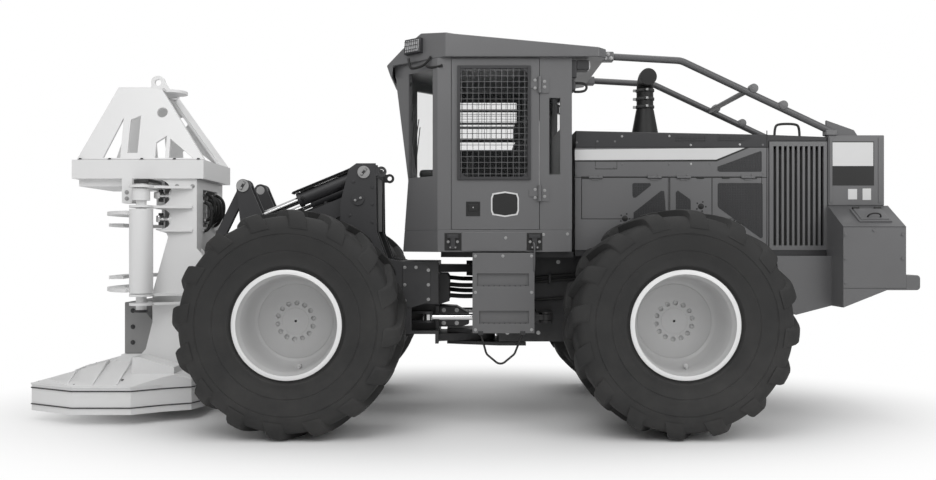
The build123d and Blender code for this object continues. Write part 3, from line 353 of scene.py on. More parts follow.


# Each look's edge colour and amount set the corner colour: a painted highlight on the dark paints, a little
# of it wear
looks = {
    "bodyPaint": {"colour": (0.118, 0.118, 0.121), "roughness": 0.42, "coat": 0.25, "wearAndHighlight": 0.35},
    "chassisPaint": {"colour": (0.030, 0.030, 0.032), "roughness": 0.48, "wearAndHighlight": 0.4, "dustAmount": 0.2},
    "topPaint": {"colour": (0.026, 0.026, 0.028), "roughness": 0.45, "wearAndHighlight": 0.3},
    "blackPaint": {"colour": (0.008, 0.008, 0.008), "roughness": 0.5, "wearAndHighlight": 0.2},
    "railPaint": {"colour": (0.085, 0.085, 0.088), "roughness": 0.42, "coat": 0.2},
    "palePaint": {"colour": (0.76, 0.76, 0.76), "roughness": 0.38, "coat": 0.3, "shift": 0.02,
                  "wornAndHighlightColour": (0.45, 0.45, 0.45), "wearAndHighlight": 0.25, "dustAmount": 0.06},
    "rimPaint": {"colour": (0.50, 0.50, 0.50), "roughness": 0.42, "coat": 0.2, "shift": 0.02,
                 "wornAndHighlightColour": (0.40, 0.40, 0.40), "wearAndHighlight": 0.2, "dustAmount": 0.12},
    "platePaint": {"colour": (0.24, 0.24, 0.24), "roughness": 0.5, "wearAndHighlight": 0.4, "shift": 0.15},
    "stripePaint": {"colour": (0.62, 0.62, 0.62), "roughness": 0.35, "wearAndHighlight": 0.1},
    "tyreRubber": {"colour": (0.013, 0.013, 0.013), "roughness": 0.72, "wearAndHighlight": 0.25, "wearAndHighlightWidth": 0.01,
                   "wornAndHighlightColour": (0.05, 0.05, 0.05), "bump": 0.35, "grainScale": 160,
                   "bumpDepth": 0.0012, "dustAmount": 0.25, "dustTop": 2.2, "dust": (0.10, 0.095, 0.09)},
    "castIron": {"colour": (0.05, 0.05, 0.05), "roughness": 0.7, "bump": 0.5, "bumpDepth": 0.002},
    "pinSteel": {"colour": (0.42, 0.42, 0.42), "roughness": 0.35, "metallic": 1, "wearAndHighlight": 0.2},
    "rodChrome": {"colour": (0.78, 0.78, 0.78), "roughness": 0.12, "metallic": 1, "wearAndHighlight": 0.0,
                  "bump": 0.02, "roughSpread": 0.03},
    "seatCloth": {"colour": (0.02, 0.02, 0.021), "roughness": 0.9, "bump": 0.6, "grainScale": 500,
                  "bumpDepth": 0.001, "wearAndHighlight": 0.0},
    "lampLens": {"colour": (0.55, 0.55, 0.56), "roughness": 0.12, "coat": 1.0, "coatRoughness": 0.03},
    "rubber": {"colour": (0.012, 0.012, 0.012), "roughness": 0.65, "bump": 0.3},
}
paint = {name: finish(name, look) for name, look in looks.items()}


def makeGlass(name, tint, clear):
    mat = bpy.data.materials.new(name)
    mat.use_nodes = True
    tree = mat.node_tree
    shader = tree.nodes["Principled BSDF"]
    give(shader, ("Base Color", (*tint, 1)), ("Roughness", 0.04), ("IOR", 1.45), ("Alpha", clear),
         ("Specular IOR Level", 0.6))
    return mat


paint["glass"] = makeGlass("glass", (0.05, 0.055, 0.055), 0.07)
print("finishes made", len(paint))

slotPaint = {
    "chassis": "chassisPaint", "iron": "castIron", "body": "bodyPaint", "dark_paint": "topPaint",
    "black_paint": "blackPaint", "rail_paint": "railPaint", "glass": "glass", "seat": "seatCloth",
    "steel": "pinSteel", "rod_chrome": "rodChrome", "pale_paint": "palePaint",
    "grey_plate": "platePaint", "tyre": "tyreRubber",
}
slotFor = {look: slot for slot, look in slotPaint.items()}
slotFor.update({"stripePaint": "pale_paint", "rimPaint": "pale_paint", "lampLens": "glass",
                "rubber": "black_paint"})
slotOf = {row["node"]: row["material_slot"] for row in frame["record"]["subparts"]}
bodyOf = {}
for bodyName, members in frame["record"]["behaviour"]["bodies"].items():
    for member in members:
        bodyOf[member] = bodyName


def coat(obj, look):
    obj.data.materials.clear()
    obj.data.materials.append(paint[look])
    return obj


for name, obj in nodes.items():
    coat(obj, slotPaint[slotOf[name]])


def keep(obj, body, look, slot=None, replaces=()):
    # The last step for every new piece: its finish, the body it rides on, what it stands for
    settle(obj)
    coat(obj, look)
    slot = slot or slotFor[look]
    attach(obj, body)
    if replaces:
        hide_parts(*replaces)
    return obj


# The studio: pale floor, soft light and the photograph's camera

def makeStage():
    bpy.ops.mesh.primitive_plane_add(size=60, location=(0, 0, 0))
    floor = bpy.context.object
    floor.name = "studioFloor"
    settle(floor)
    mat = bpy.data.materials.new("studioWhite")
    mat.use_nodes = True
    tree = mat.node_tree
    shader = tree.nodes["Principled BSDF"]
    give(shader, ("Base Color", (0.90, 0.90, 0.90, 1)), ("Roughness", 0.6))
    # Away from the machine the floor fades into the backdrop, for the camera only
    coords = put(tree, "ShaderNodeTexCoord", (-1000, -300))
    stretch = put(tree, "ShaderNodeVectorMath", (-800, -300), operation="MULTIPLY")
    stretch.inputs[1].default_value = (0.62, 1.0, 1.0)
    wire(tree, coords, "Object", stretch, 0)
    reach = put(tree, "ShaderNodeVectorMath", (-600, -300), operation="LENGTH")
    wire(tree, stretch, "Vector", reach, 0)
    fade = put(tree, "ShaderNodeMapRange", (-400, -300), interpolation_type="SMOOTHSTEP")
    give(fade, ("From Min", 1.6), ("From Max", 3.3))
    wire(tree, reach, "Value", fade, "Value")
    ray = put(tree, "ShaderNodeLightPath", (-400, 0))
    blend = put(tree, "ShaderNodeMath", (-200, -150), operation="MULTIPLY")
    wire(tree, fade, "Result", blend, 0)
    wire(tree, ray, "Is Camera Ray", blend, 1)
    glow = put(tree, "ShaderNodeEmission", (0, -200))
    give(glow, ("Strength", 1.0))
    mix = put(tree, "ShaderNodeMixShader", (300, 0))
    wire(tree, blend, "Value", mix, 0)
    wire(tree, shader, "BSDF", mix, 1)
    wire(tree, glow, "Emission", mix, 2)
    tree.links.new(mix.outputs[0], tree.nodes["Material Output"].inputs["Surface"])
    floor.data.materials.append(mat)

    world = bpy.data.worlds.new("studioWorld")
    bpy.context.scene.world = world
    world.use_nodes = True
    tree = world.node_tree
    back = tree.nodes["Background"]
    give(back, ("Color", (1, 1, 1, 1)))
    seen = put(tree, "ShaderNodeBackground", (0, -200))
    give(seen, ("Color", (1, 1, 1, 1)), ("Strength", 1.0))
    give(back, ("Strength", 0.55))
    ray = put(tree, "ShaderNodeLightPath", (-400, 200))
    most = put(tree, "ShaderNodeMath", (-200, 200), operation="MAXIMUM")
    wire(tree, ray, "Is Camera Ray", most, 0)
    wire(tree, ray, "Is Transmission Ray", most, 1)
    mix = put(tree, "ShaderNodeMixShader", (200, 0))
    wire(tree, most, "Value", mix, 0)
    wire(tree, back, "Background", mix, 1)
    wire(tree, seen, "Background", mix, 2)
    tree.links.new(mix.outputs[0], tree.nodes["World Output"].inputs["Surface"])

    lamps = [
        ("keyLamp", (2.2, 6.5, 7.0), 5.0, 215.0),
        ("fillLamp", (-5.5, 6.0, 5.0), 5.0, 150.0),
        ("topLamp", (-0.5, 0.0, 9.0), 8.0, 225.0),
    ]
    for label, spot, size, watts in lamps:
        bpy.ops.object.light_add(type="AREA", location=spot)
        lamp = bpy.context.object
        lamp.name = label
        lamp.data.size = size
        lamp.data.energy = watts
        aim = Vector((0, 0, 1.2)) - Vector(spot)
        lamp.rotation_euler = aim.to_track_quat("-Z", "Y").to_euler()


view = {  # metres, millimetres for the lens, and pixels of the picture
    "distance": 8.57, "height": 1.543, "ahead": 0.164, "lens": 35.0, "sensor": 36.0,
    "wide": 936.0, "tall": 480.0, "axisX": 465.0, "axisY": 244.0, "pixels": 910.0,
}


def makeCamera():
    # The lens axis meets the picture a little off its middle, so the lens is shifted
    bpy.ops.object.camera_add(
        location=(view["ahead"] + pinX, view["distance"], view["height"]),
        rotation=(math.pi / 2, 0, math.pi))
    camera = bpy.context.object
    camera.data.lens = view["lens"]
    camera.data.sensor_width = view["sensor"]
    camera.data.shift_x = (view["wide"] / 2 - view["axisX"]) / view["wide"]
    camera.data.shift_y = (view["axisY"] - view["tall"] / 2) / view["wide"]
    camera.data.clip_end = 200
    bpy.context.scene.camera = camera


makeStage()
makeCamera()
bpy.context.scene.view_settings.view_transform = "Standard"
print("stage and camera set")


# Small helpers for the details: places, wires, bolts and mirrored twins

def ahead(x):
    # Metres ahead of the hinge pin, in the row frame
    return x + pinX


def outlineAhead(rows):
    return [(ahead(x), other) for x, other in rows]


def spotsAhead(rows, y):
    return [(ahead(x), y, z) for x, z in rows]


def tube(name, rows, radius):
    # A smooth pipe, its points given ahead of the hinge pin
    return pipe(name, [(ahead(x), y, z) for x, y, z in rows], radius)


def box(name, low, high, round=0.004):
    # A bar, its corners given ahead of the hinge pin
    return bar(name, (ahead(low[0]), *low[1:]), (ahead(high[0]), *high[1:]), round)


def seenAt(px, py, side):
    # Where a spot measured on the picture lies, on a plane at one distance to the left
    scale = view["pixels"] / (view["distance"] - side)
    x = (view["axisX"] - px) / scale + view["ahead"] + pinX
    return (x, view["height"] + (view["axisY"] - py) / scale)


def seenOutline(spots, side):
    return [seenAt(px, py, side) for px, py in spots]


def spotsSeen(rows, y):
    return [(x, y, z) for x, z in seenOutline(rows, y)]


def meshOf(name, points, faces):
    mesh = bpy.data.meshes.new(name)
    mesh.from_pydata([tuple(p) for p in points], [], faces)
    mesh.update()
    obj = bpy.data.objects.new(name, mesh)
    bpy.context.scene.collection.objects.link(obj)
    return obj


def faceOut(obj):
    pick(obj)
    bpy.ops.object.mode_set(mode="EDIT")
    bpy.ops.mesh.select_all(action="SELECT")
    bpy.ops.mesh.normals_make_consistent(inside=False)
    bpy.ops.object.mode_set(mode="OBJECT")
    return obj


def otherSide(obj):
    # The same piece on the right of the machine, joined to the one on the left
    twin = obj.copy()
    twin.data = obj.data.copy()
    bpy.context.scene.collection.objects.link(twin)
    twin.scale = (1, -1, 1)
    settle(twin)
    faceOut(twin)
    return joinAll([obj, twin], obj.name)


def wires(name, lines, radius):
    # Straight square wires, each from its two ends
    points, faces = [], []
    for start, end in lines:
        run = Vector(end) - Vector(start)
        side = run.orthogonal().normalized() * radius
        up = run.cross(side).normalized() * radius
        base = len(points)
        for spot in (Vector(start), Vector(end)):
            points += [spot + side, spot + up, spot - side, spot - up]
        for step in range(4):
            after = (step + 1) % 4
            faces.append((base + step, base + after, base + 4 + after, base + 4 + step))
        faces += [(base + 3, base + 2, base + 1, base), (base + 4, base + 5, base + 6, base + 7)]
    return faceOut(meshOf(name, points, faces))


def spanAt(outline, level, axis):
    # Where a line across a convex outline enters and leaves it
    found = []
    for here, there in zip(outline, outline[1:] + outline[:1]):
        a, b = here[axis], there[axis]
        if (a - level) * (b - level) < 0:
            share = (level - a) / (b - a)
            found.append(here[1 - axis] + (there[1 - axis] - here[1 - axis]) * share)
    return (min(found), max(found)) if len(found) > 1 else None


def gridLines(outline, pitch, side):
    lines = []
    for axis in (0, 1):
        low = min(p[axis] for p in outline)
        high = max(p[axis] for p in outline)
        level = low + pitch / 2
        while level < high:
            span = spanAt(outline, level, axis)
            if span and axis == 0:
                lines.append(((level, side, span[0]), (level, side, span[1])))
            elif span:
                lines.append(((span[0], side + 0.002, level), (span[1], side + 0.002, level)))
            level += pitch
    return lines


def bolts(name, spots, axis, radius, height):
    # Hex heads on washers, from the spots where they meet the plate
    points, faces = [], []
    ways = {"y": ((1, 0, 0), (0, 0, 1), (0, 1, 0)), "z": ((1, 0, 0), (0, 1, 0), (0, 0, 1)),
            "x": ((0, 1, 0), (0, 0, 1), (1, 0, 0))}
    across, along, out = [Vector(way) for way in ways[axis]]
    stack = [(14, 1.5, 0.0), (14, 1.5, 0.22), (6, 1.0, 0.22), (6, 1.0, 0.85), (6, 0.8, 1.0)]
    for number, spot in enumerate(spots):
        last = None
        for sides, wide, high in stack:
            ring = len(points)
            for step in range(sides):
                angle = 2 * math.pi * step / sides + number
                points.append(Vector(spot) + across * radius * wide * math.cos(angle)
                              + along * radius * wide * math.sin(angle) + out * height * high)
            if last and last[1] == sides:
                for step in range(sides):
                    after = (step + 1) % sides
                    faces.append((last[0] + step, last[0] + after, ring + after, ring + step))
            if high in (0.22, 1.0):
                faces.append(tuple(range(ring, ring + sides)))
            last = (ring, sides)
    return faceOut(meshOf(name, points, faces))


def panelRing(name, low, high, inset, front, back, round=0.003):
    # A flat rectangular ring in the side view, between two distances to the left
    (x0, z0), (x1, z1) = low, high
    pieces = [
        bar("a", (x0, back, z0), (x0 + inset, front, z1), round),
        bar("b", (x1 - inset, back, z0), (x1, front, z1), round),
        bar("c", (x0 + inset, back, z0), (x1 - inset, front, z0 + inset), round),
        bar("d", (x0 + inset, back, z1 - inset), (x1 - inset, front, z1), round),
    ]
    return joinAll(pieces, name)


def keepAll(pieces, name, body, look, slot=None, replaces=()):
    # Pieces joined into one and kept
    return keep(joinAll(pieces, name), body, look, slot, replaces)


def keepBoth(pieces, name, body, look, slot=None):
    # The same with its twin on the right
    return keep(otherSide(joinAll(pieces, name)), body, look, slot)


def keepBolts(name, spots, axis, radius, height, body, look="pinSteel", slot=None):
    # Bolts with their twins on the right
    return keep(otherSide(bolts(name, spots, axis, radius, height)), body, look, slot)


# Panels and plates keep their CAD form and get eased edges

def dress(node, width, look=None, segments=2, angle=30):
    source = nodes[node]
    obj = source.copy()
    obj.data = source.data.copy()
    obj.name = node + "_panel"
    bpy.context.scene.collection.objects.link(obj)
    pick(obj)
    bpy.ops.object.mode_set(mode="EDIT")
    bpy.ops.mesh.select_all(action="SELECT")
    bpy.ops.mesh.remove_doubles(threshold=0.0002)
    bpy.ops.mesh.dissolve_limited(angle_limit=math.radians(1.0))
    bpy.ops.object.mode_set(mode="OBJECT")
    bevelEdges(obj, width, segments, angle)
    smoothByAngle(obj, 40)
    even = obj.modifiers.new("normals", "WEIGHTED_NORMAL")
    even.keep_sharp = True
    applyAll(obj)
    return keep(obj, bodyOf[node], look or slotPaint[slotOf[node]], slotOf[node], [node])


dressed = [
    ("rear_frame", 0.004), ("front_frame", 0.004), ("rear_axle", 0.006), ("front_axle", 0.006),
    ("hood_shell", 0.005), ("hood_top", 0.010), ("rear_tank", 0.010), ("rear_bumper", 0.006),
    ("rear_tower", 0.008), ("tow_hitch", 0.004), ("exhaust_stack", 0.004), ("brush_rails", 0.003),
    ("cab_floor", 0.006), ("cab_frame", 0.006), ("cab_roof", 0.014), ("cab_door", 0.006),
    ("ladder", 0.004), ("lift_arm", 0.0003), ("levers", 0.004), ("links", 0.004),
    ("tilt_barrels", 0.003), ("lift_barrels", 0.003), ("steer_barrel_left", 0.003),
    ("steer_barrel_right", 0.003), ("head_mast", 0.006), ("head_beam", 0.006),
    ("head_guard", 0.004), ("lifting_eye", 0.004), ("saw_housing", 0.008), ("butt_plate", 0.006),
    ("clamp_arm_left", 0.004), ("clamp_arm_right", 0.004), ("engine_door_front_left", 0.004),
    ("engine_door_front_right", 0.004), ("engine_door_rear_left", 0.004),
    ("engine_door_rear_right", 0.004), ("saw_disc", 0.003),
]
for node, width in dressed:
    dress(node, width)
print("panels dressed", len(dressed))


# Tyres: a curved carcass with slanted lugs that wrap onto the shoulder

lugPairs = 16
wheelSpots = [  # side, end, place of the wheel's middle
    ("left", "front", (1.555 + pinX, 1.15, 0.91)), ("right", "front", (1.555 + pinX, -1.15, 0.91)),
    ("left", "rear", (-1.555 + pinX, 1.15, 0.91)), ("right", "rear", (-1.555 + pinX, -1.15, 0.91)),
]


def turned(name, profile, sides, closed=True):
    # A ring about Z from points given as radius and height
    points = []
    for index in range(sides):
        angle = 2 * math.pi * index / sides
        points += [(r * math.cos(angle), r * math.sin(angle), h) for r, h in profile]
    count = len(profile)
    faces = []
    for index in range(sides):
        here, there = index * count, (index + 1) % sides * count
        for step in range(count if closed else count - 1):
            after = (step + 1) % count
            faces.append((here + step, there + step, there + after, here + after))
    obj = meshOf(name, points, faces)
    return faceOut(obj)


def carcassProfile():
    side = [
        (0.857, 0.12), (0.855, 0.24), (0.850, 0.315), (0.836, 0.345), (0.808, 0.365),
        (0.776, 0.3765), (0.745, 0.3805), (0.716, 0.380), (0.713, 0.3765), (0.706, 0.3765),
        (0.703, 0.380), (0.660, 0.377), (0.610, 0.370), (0.585, 0.3655), (0.582, 0.362),
        (0.576, 0.361), (0.573, 0.3635), (0.530, 0.353), (0.490, 0.345), (0.478, 0.3485),
        (0.466, 0.3475), (0.456, 0.338), (0.446, 0.3255), (0.432, 0.3252), (0.4075, 0.3252),
    ]
    return [(0.857, 0.0)] + side + [(r, -h) for r, h in reversed(side)]


def lugShape(name):
    # Stations run from the middle of the tread out to the shoulder
    stations = [  # height, top radius, foot radius, extra width at the foot
        (-0.012, 0.908, 0.845, 0.010), (0.06, 0.9090, 0.845, 0.012), (0.14, 0.9085, 0.843, 0.013),
        (0.22, 0.9060, 0.840, 0.014), (0.29, 0.9010, 0.832, 0.015), (0.335, 0.891, 0.815, 0.016),
        (0.358, 0.866, 0.795, 0.014), (0.375, 0.828, 0.775, 0.010), (0.3835, 0.785, 0.762, 0.004),
    ]
    points = []
    for height, top, foot, spread in stations:
        share = max(0, min(1, height / 0.390))
        first = 0.145 + (-0.0375 - 0.145) * share
        second = 0.065 + (-0.1725 - 0.065) * share
        middle = (first + second) / 2
        ring = [(foot, first + spread), (top - 0.004, first - 0.003), (top, first - 0.012),
                (top + 0.001, middle), (top, second + 0.012), (top - 0.004, second + 0.003),
                (foot, second - spread)]
        for radius, along in ring:
            angle = along / radius
            points.append((radius * math.cos(angle), radius * math.sin(angle), height))
    faces = []
    for row in range(len(stations) - 1):
        for step in range(6):
            a = row * 7 + step
            faces.append((a, a + 1, a + 8, a + 7))
        faces.append((row * 7 + 6, row * 7, row * 7 + 7, row * 7 + 13))
    faces.append(tuple(range(6, -1, -1)))
    last = (len(stations) - 1) * 7
    faces.append(tuple(range(last, last + 7)))
    obj = meshOf(name, points, faces)
    return faceOut(obj)


def placeWheel(obj, side, spot):
    obj.rotation_euler = (math.radians(-90 if side == "left" else 90), 0, 0)
    obj.location = spot
    return settle(obj)


def makeTyre(side, end, spot):
    lead = 1 if side == "left" else -1
    parts = [turned("carcass", carcassProfile(), 128)]
    lug = lugShape("lug")
    if lead < 0:
        lug.scale = (1, -1, 1)
        settle(lug)
    other = copyOf(lug, "lugOther")
    other.scale = (1, 1, -1)
    settle(other)
    for index in range(lugPairs):
        for model, shift in ((lug, 0.0), (other, 0.5)):
            twin = copyOf(model, "lugCopy")
            twin.rotation_euler = (0, 0, math.radians(360 / lugPairs * (index + shift)))
            parts.append(settle(twin))
    for model in (lug, other):
        bpy.data.objects.remove(model)
    tyre = faceOut(joinAll(parts, f"{end}_{side}_tread"))
    smoothByAngle(tyre, 32)
    placeWheel(tyre, side, spot)
    return keep(tyre, f"{end}_{side}_wheel", "tyreRubber", replaces=[f"{end}_{side}_tyre"])


def makeRim(side, end, spot):
    profile = [
        (0.398, 0.3425), (0.428, 0.3430), (0.4315, 0.3395), (0.4315, 0.331), (0.426, 0.3255),
        (0.4068, 0.3250), (0.4068, -0.325), (0.426, -0.3255), (0.4315, -0.331), (0.4315, -0.3395),
        (0.428, -0.343), (0.398, -0.3425), (0.392, -0.336), (0.389, -0.300), (0.388, -0.140),
        (0.330, -0.086), (0.171, -0.085), (0.168, -0.120), (0.168, -0.2995), (0.022, -0.2995),
        (0.022, -0.062), (0.0102, -0.060), (0.0100, -0.0575), (0.107, -0.0572), (0.108, -0.0590),
        (0.111, -0.0590), (0.112, -0.0572), (0.302, -0.0572), (0.304, -0.0590), (0.308, -0.0590),
        (0.310, -0.0565), (0.322, -0.052), (0.336, -0.040), (0.352, -0.012), (0.364, 0.024),
        (0.371, 0.080), (0.376, 0.180), (0.379, 0.262), (0.383, 0.285), (0.392, 0.298),
        (0.394, 0.330),
    ]
    rim = turned("rimShell", profile, 96)
    # The stud holes are round dimples in the disc, and a valve with its guard stands on the rim
    cutters = []
    for index in range(14):
        angle = 2 * math.pi * index / 14
        bpy.ops.mesh.primitive_uv_sphere_add(
            segments=20, ring_count=12, radius=0.021,
            location=(0.149 * math.cos(angle), 0.149 * math.sin(angle), -0.0575))
        cutters.append(bpy.context.object)
    cutter = joinAll(cutters, "studCutter")
    pick(rim)
    cut = rim.modifiers.new("studs", "BOOLEAN")
    cut.operation = "DIFFERENCE"
    cut.solver = "EXACT"
    cut.object = cutter
    applyAll(rim)
    bpy.data.objects.remove(cutter)
    smoothByAngle(rim, 35)
    valve = drum("valve", (0, 0.352, 0.070), "z", 0.020, 0.045, 20, 0.005)
    guard = drum("valveGuard", (0, 0.362, 0.060), "z", 0.012, 0.075, 16, 0.003)
    rim = joinAll([rim, valve, guard], f"{end}_{side}_dish")
    rim.rotation_euler = (0, 0, math.radians(9 if side == "left" else -9))
    settle(rim)
    placeWheel(rim, side, spot)
    keep(rim, f"{end}_{side}_wheel", "rimPaint", replaces=[f"{end}_{side}_rim"])
    # A pale ring over the flange, in the pale paint on the grey rim: a painted highlight, a lit copy of the
    # rim's own paint
    highlightProfile = [(0.397, 0.3435), (0.4285, 0.3437), (0.4325, 0.3395), (0.4325, 0.333), (0.4005, 0.340)]
    edge = turned("rimHighlight", highlightProfile, 96)
    smoothByAngle(edge, 50)
    edge = joinAll([edge], f"{end}_{side}_rim_highlight")
    placeWheel(edge, side, spot)
    return keep(edge, f"{end}_{side}_wheel", "palePaint")


for side, end, spot in wheelSpots:
    makeTyre(side, end, spot)
    makeRim(side, end, spot)
print("wheels made")


# Hood: stripe, vents, meshes, seams, latches and bolts on each side

hoodSide = 0.61  # the hood wall's distance to the left

def makeHoodStripe():
    size = {"face": 0.6115, "back": 0.608}
    band = seenOutline([(574.8, 149.6), (574.8, 160.2), (716.2, 159.6), (744.6, 147.9)], hoodSide)
    stripe = otherSide(plate("hood_stripe", band, size["back"], size["face"], "y", 0.0006))
    keep(stripe, "rear_frame", "stripePaint")
    edge = seenOutline([(574.8, 160.3), (716.0, 159.7), (746.0, 147.6), (752.0, 146.6), (716.6, 161.4),
                        (574.8, 161.7)], hoodSide)
    line = otherSide(plate("hood_stripe_edge", edge, size["back"], size["face"], "y", 0.0004))
    keep(line, "rear_frame", "blackPaint")


def makeHoodVents():
    size = {"face": 0.6125, "back": 0.606, "wire": 0.0016, "pitch": 0.022}
    vents = [
        [(675.4, 137), (676.6, 135.8), (704.8, 135.6), (705.9, 136.6), (705.9, 140.6), (704.8, 141.7),
         (676.6, 141.7), (675.4, 140.6)],
        [(717.7, 136.6), (718.8, 135.4), (749.6, 135.2), (751, 136.4), (751, 137.8), (743, 141.3),
         (718.8, 141.5), (717.7, 140.4)],
        [(717.7, 166.6), (760.4, 151), (761.8, 152), (761.8, 170.8), (760.8, 171.8), (719.3, 171.8),
         (717.7, 170.4)],
        [(632.3, 184.2), (633.6, 182.9), (650.2, 183.0), (651, 185.4), (636, 197.4), (633.6, 197.9),
         (632.5, 196)],
        [(633.6, 224), (633.6, 212.4), (661, 190.8), (664.2, 191), (665.8, 212), (666.2, 224)],
        [(675.8, 192.3), (677.8, 190.4), (689.8, 199), (690.6, 200.6), (691, 226), (676, 226)],
        [(717.7, 184.3), (719.1, 182.9), (761.3, 182.9), (762.6, 184.2), (762.8, 237), (760.8, 238.4),
         (718.9, 207.9), (717.7, 205.9)],
    ]
    backs, grids = [], []
    for spots in vents:
        outline = seenOutline(spots, hoodSide)
        backs.append(plate("vent", outline, size["back"], size["face"] - 0.0015, "y", 0.0008))
        grids += gridLines(outline, size["pitch"], size["face"])
    backing = otherSide(joinAll(backs, "hood_vents"))
    keep(backing, "rear_frame", "topPaint")
    grid = otherSide(wires("hood_vent_mesh", grids, size["wire"]))
    keep(grid, "rear_frame", "chassisPaint", "black_paint")


def makeHoodSeams():
    size = {"face": 0.6112, "back": 0.607, "width": 0.0075}
    lines = [
        (669.8, 178.5, 669.8, 216), (712.0, 178.5, 712.0, 220), (766.9, 131, 766.9, 246),
        (574.4, 177.4, 766.9, 177.4), (595.4, 141.5, 595.4, 149), (595.4, 161.8, 595.4, 168.6),
        (595.4, 168.8, 616.9, 169.0), (616.9, 161.8, 616.9, 168.8),
    ]
    strips = []
    for px, py, qx, qy in lines:
        a, b = seenAt(px, py, hoodSide), seenAt(qx, qy, hoodSide)
        wide = size["width"] * (0.45 if px < 620 and qx < 620 else 1) / 2
        low = (min(a[0], b[0]) - wide, size["back"], min(a[1], b[1]) - wide)
        high = (max(a[0], b[0]) + wide, size["face"], max(a[1], b[1]) + wide)
        strips.append(bar("seam", low, high, 0.0006))
    keepBoth(strips, "hood_seams", "rear_frame", "blackPaint")
    tabs = []
    for px, qx in ((582, 589.5), (654, 662), (678, 685.2), (696.5, 704), (722, 729.4), (749.5, 757)):
        a, b = seenAt(px, 176.9, hoodSide), seenAt(qx, 178.6, hoodSide)
        tabs.append(bar("tab", (b[0], 0.607, b[1]), (a[0], 0.618, a[1]), 0.002))
    keepBoth(tabs, "hood_hinge_tabs", "rear_frame", "blackPaint")


def makeHoodLatches():
    size = {"radius": 0.026, "face": hoodSide, "bolt": 0.005}
    knobs, studs = [], []
    for px, py in ((624.9, 218.4), (701.0, 206.4), (738.0, 223.5)):
        x, z = seenAt(px, py, hoodSide)
        knobs.append(drum("knob", (x, size["face"] - 0.004, z), "y", size["radius"], 0.007, 28, 0.002))
        knobs.append(bar("grip", (x - 0.018, 0.611, z - 0.005), (x + 0.018, 0.6145, z + 0.005), 0.001))
        for index in range(5):
            turn = 0.7 + index * 2 * math.pi / 5
            studs.append((x + 0.042 * math.cos(turn), size["face"], z + 0.042 * math.sin(turn)))
    keepBoth(knobs, "hood_latches", "rear_frame", "blackPaint")
    keepBolts("hood_latch_bolts", studs, "y", size["bolt"], 0.003, "rear_frame", "blackPaint")
    bright = [(622, 136.3), (669.4, 136), (690.8, 145), (739.8, 144.5), (691, 163.9)]
    keepBolts("hood_bright_bolts", spotsSeen(bright, size["face"]), "y", 0.0065, 0.007, "rear_frame")
    dull = [(576.7, 142.5), (576.7, 164.9), (576.7, 174.9), (597.4, 141.4), (614.9, 141.4), (595.8, 167.5),
            (614.2, 167.5), (669.1, 163.9), (710, 163.9), (762.8, 144.8), (762.8, 173.6), (622.2, 163.9)]
    keepBolts("hood_panel_bolts", spotsSeen(dull, size["face"]), "y", 0.0065, 0.006, "rear_frame",
              "bodyPaint")


makeHoodStripe()
makeHoodVents()
makeHoodSeams()
makeHoodLatches()
print("hood details made")


# Cab: door mesh, latch, plain badge plate, mounts, lamps, handles, wiper

def makeDoorMesh():
    size = {"wire": 0.0032, "pitch": 0.0495, "inset": 0.026}
    low, high = (ahead(-0.400), 2.094), (ahead(0.230), 3.075)
    ring = panelRing("door_mesh_frame", low, high, size["inset"], 0.768, 0.7475)
    keep(ring, bodyOf["cab_door"], "chassisPaint", "body")
    x0, x1 = low[0] + size["inset"], high[0] - size["inset"]
    z0, z1 = low[1] + size["inset"], high[1] - size["inset"]
    cut = 0.028
    outline = [(x0 + cut, z0), (x1 - cut, z0), (x1, z0 + cut), (x1, z1 - cut), (x1 - cut, z1),
               (x0 + cut, z1), (x0, z1 - cut), (x0, z0 + cut)]
    grid = wires("door_mesh", gridLines(outline, size["pitch"], 0.759), size["wire"])
    keep(grid, bodyOf["cab_door"], "railPaint", "body")
    corners = []
    for cx, dx in ((x0, 1), (x1, -1)):
        for cz, dz in ((z0, 1), (z1, -1)):
            gusset = [(cx, cz), (cx + dx * 0.05, cz), (cx + dx * 0.02, cz + dz * 0.02), (cx, cz + dz * 0.05)]
            corners.append(plate("gusset", gusset, 0.751, 0.764, "y", 0.002))
    keepAll(corners, "door_mesh_gussets", bodyOf["cab_door"], "chassisPaint", "body")


def makeFarMesh():
    # The right-hand window has its own guard, with a lined panel below it
    size = {"wire": 0.003, "pitch": 0.0495, "side": -0.762}
    outline = [(ahead(-0.38), 2.60), (ahead(0.21), 2.60), (ahead(0.21), 3.05), (ahead(-0.38), 3.05)]
    grid = wires("right_window_mesh", gridLines(outline, size["pitch"], size["side"]), size["wire"])
    bars = []
    for z, tall in ((2.905, 0.012), (2.775, 0.010), (2.735, 0.012), (2.60, 0.016), (3.05, 0.016)):
        bars.append(box("rail", (-0.395, -0.768, z - tall), (0.225, -0.752, z + tall), 0.003))
    keep(grid, "rear_frame", "railPaint", "body")
    keepAll(bars, "right_window_bars", "rear_frame", "chassisPaint", "body")
    lining = [box("trim", (-0.42, -0.703, 2.09), (0.25, -0.690, 2.50), 0.006),
              box("trimTop", (-0.42, -0.703, 2.98), (0.25, -0.690, 3.08), 0.006),
              box("trimRear", (-0.42, -0.703, 2.49), (-0.36, -0.690, 2.99), 0.006)]
    keepAll(lining, "cab_lining", "rear_frame", "seatCloth")


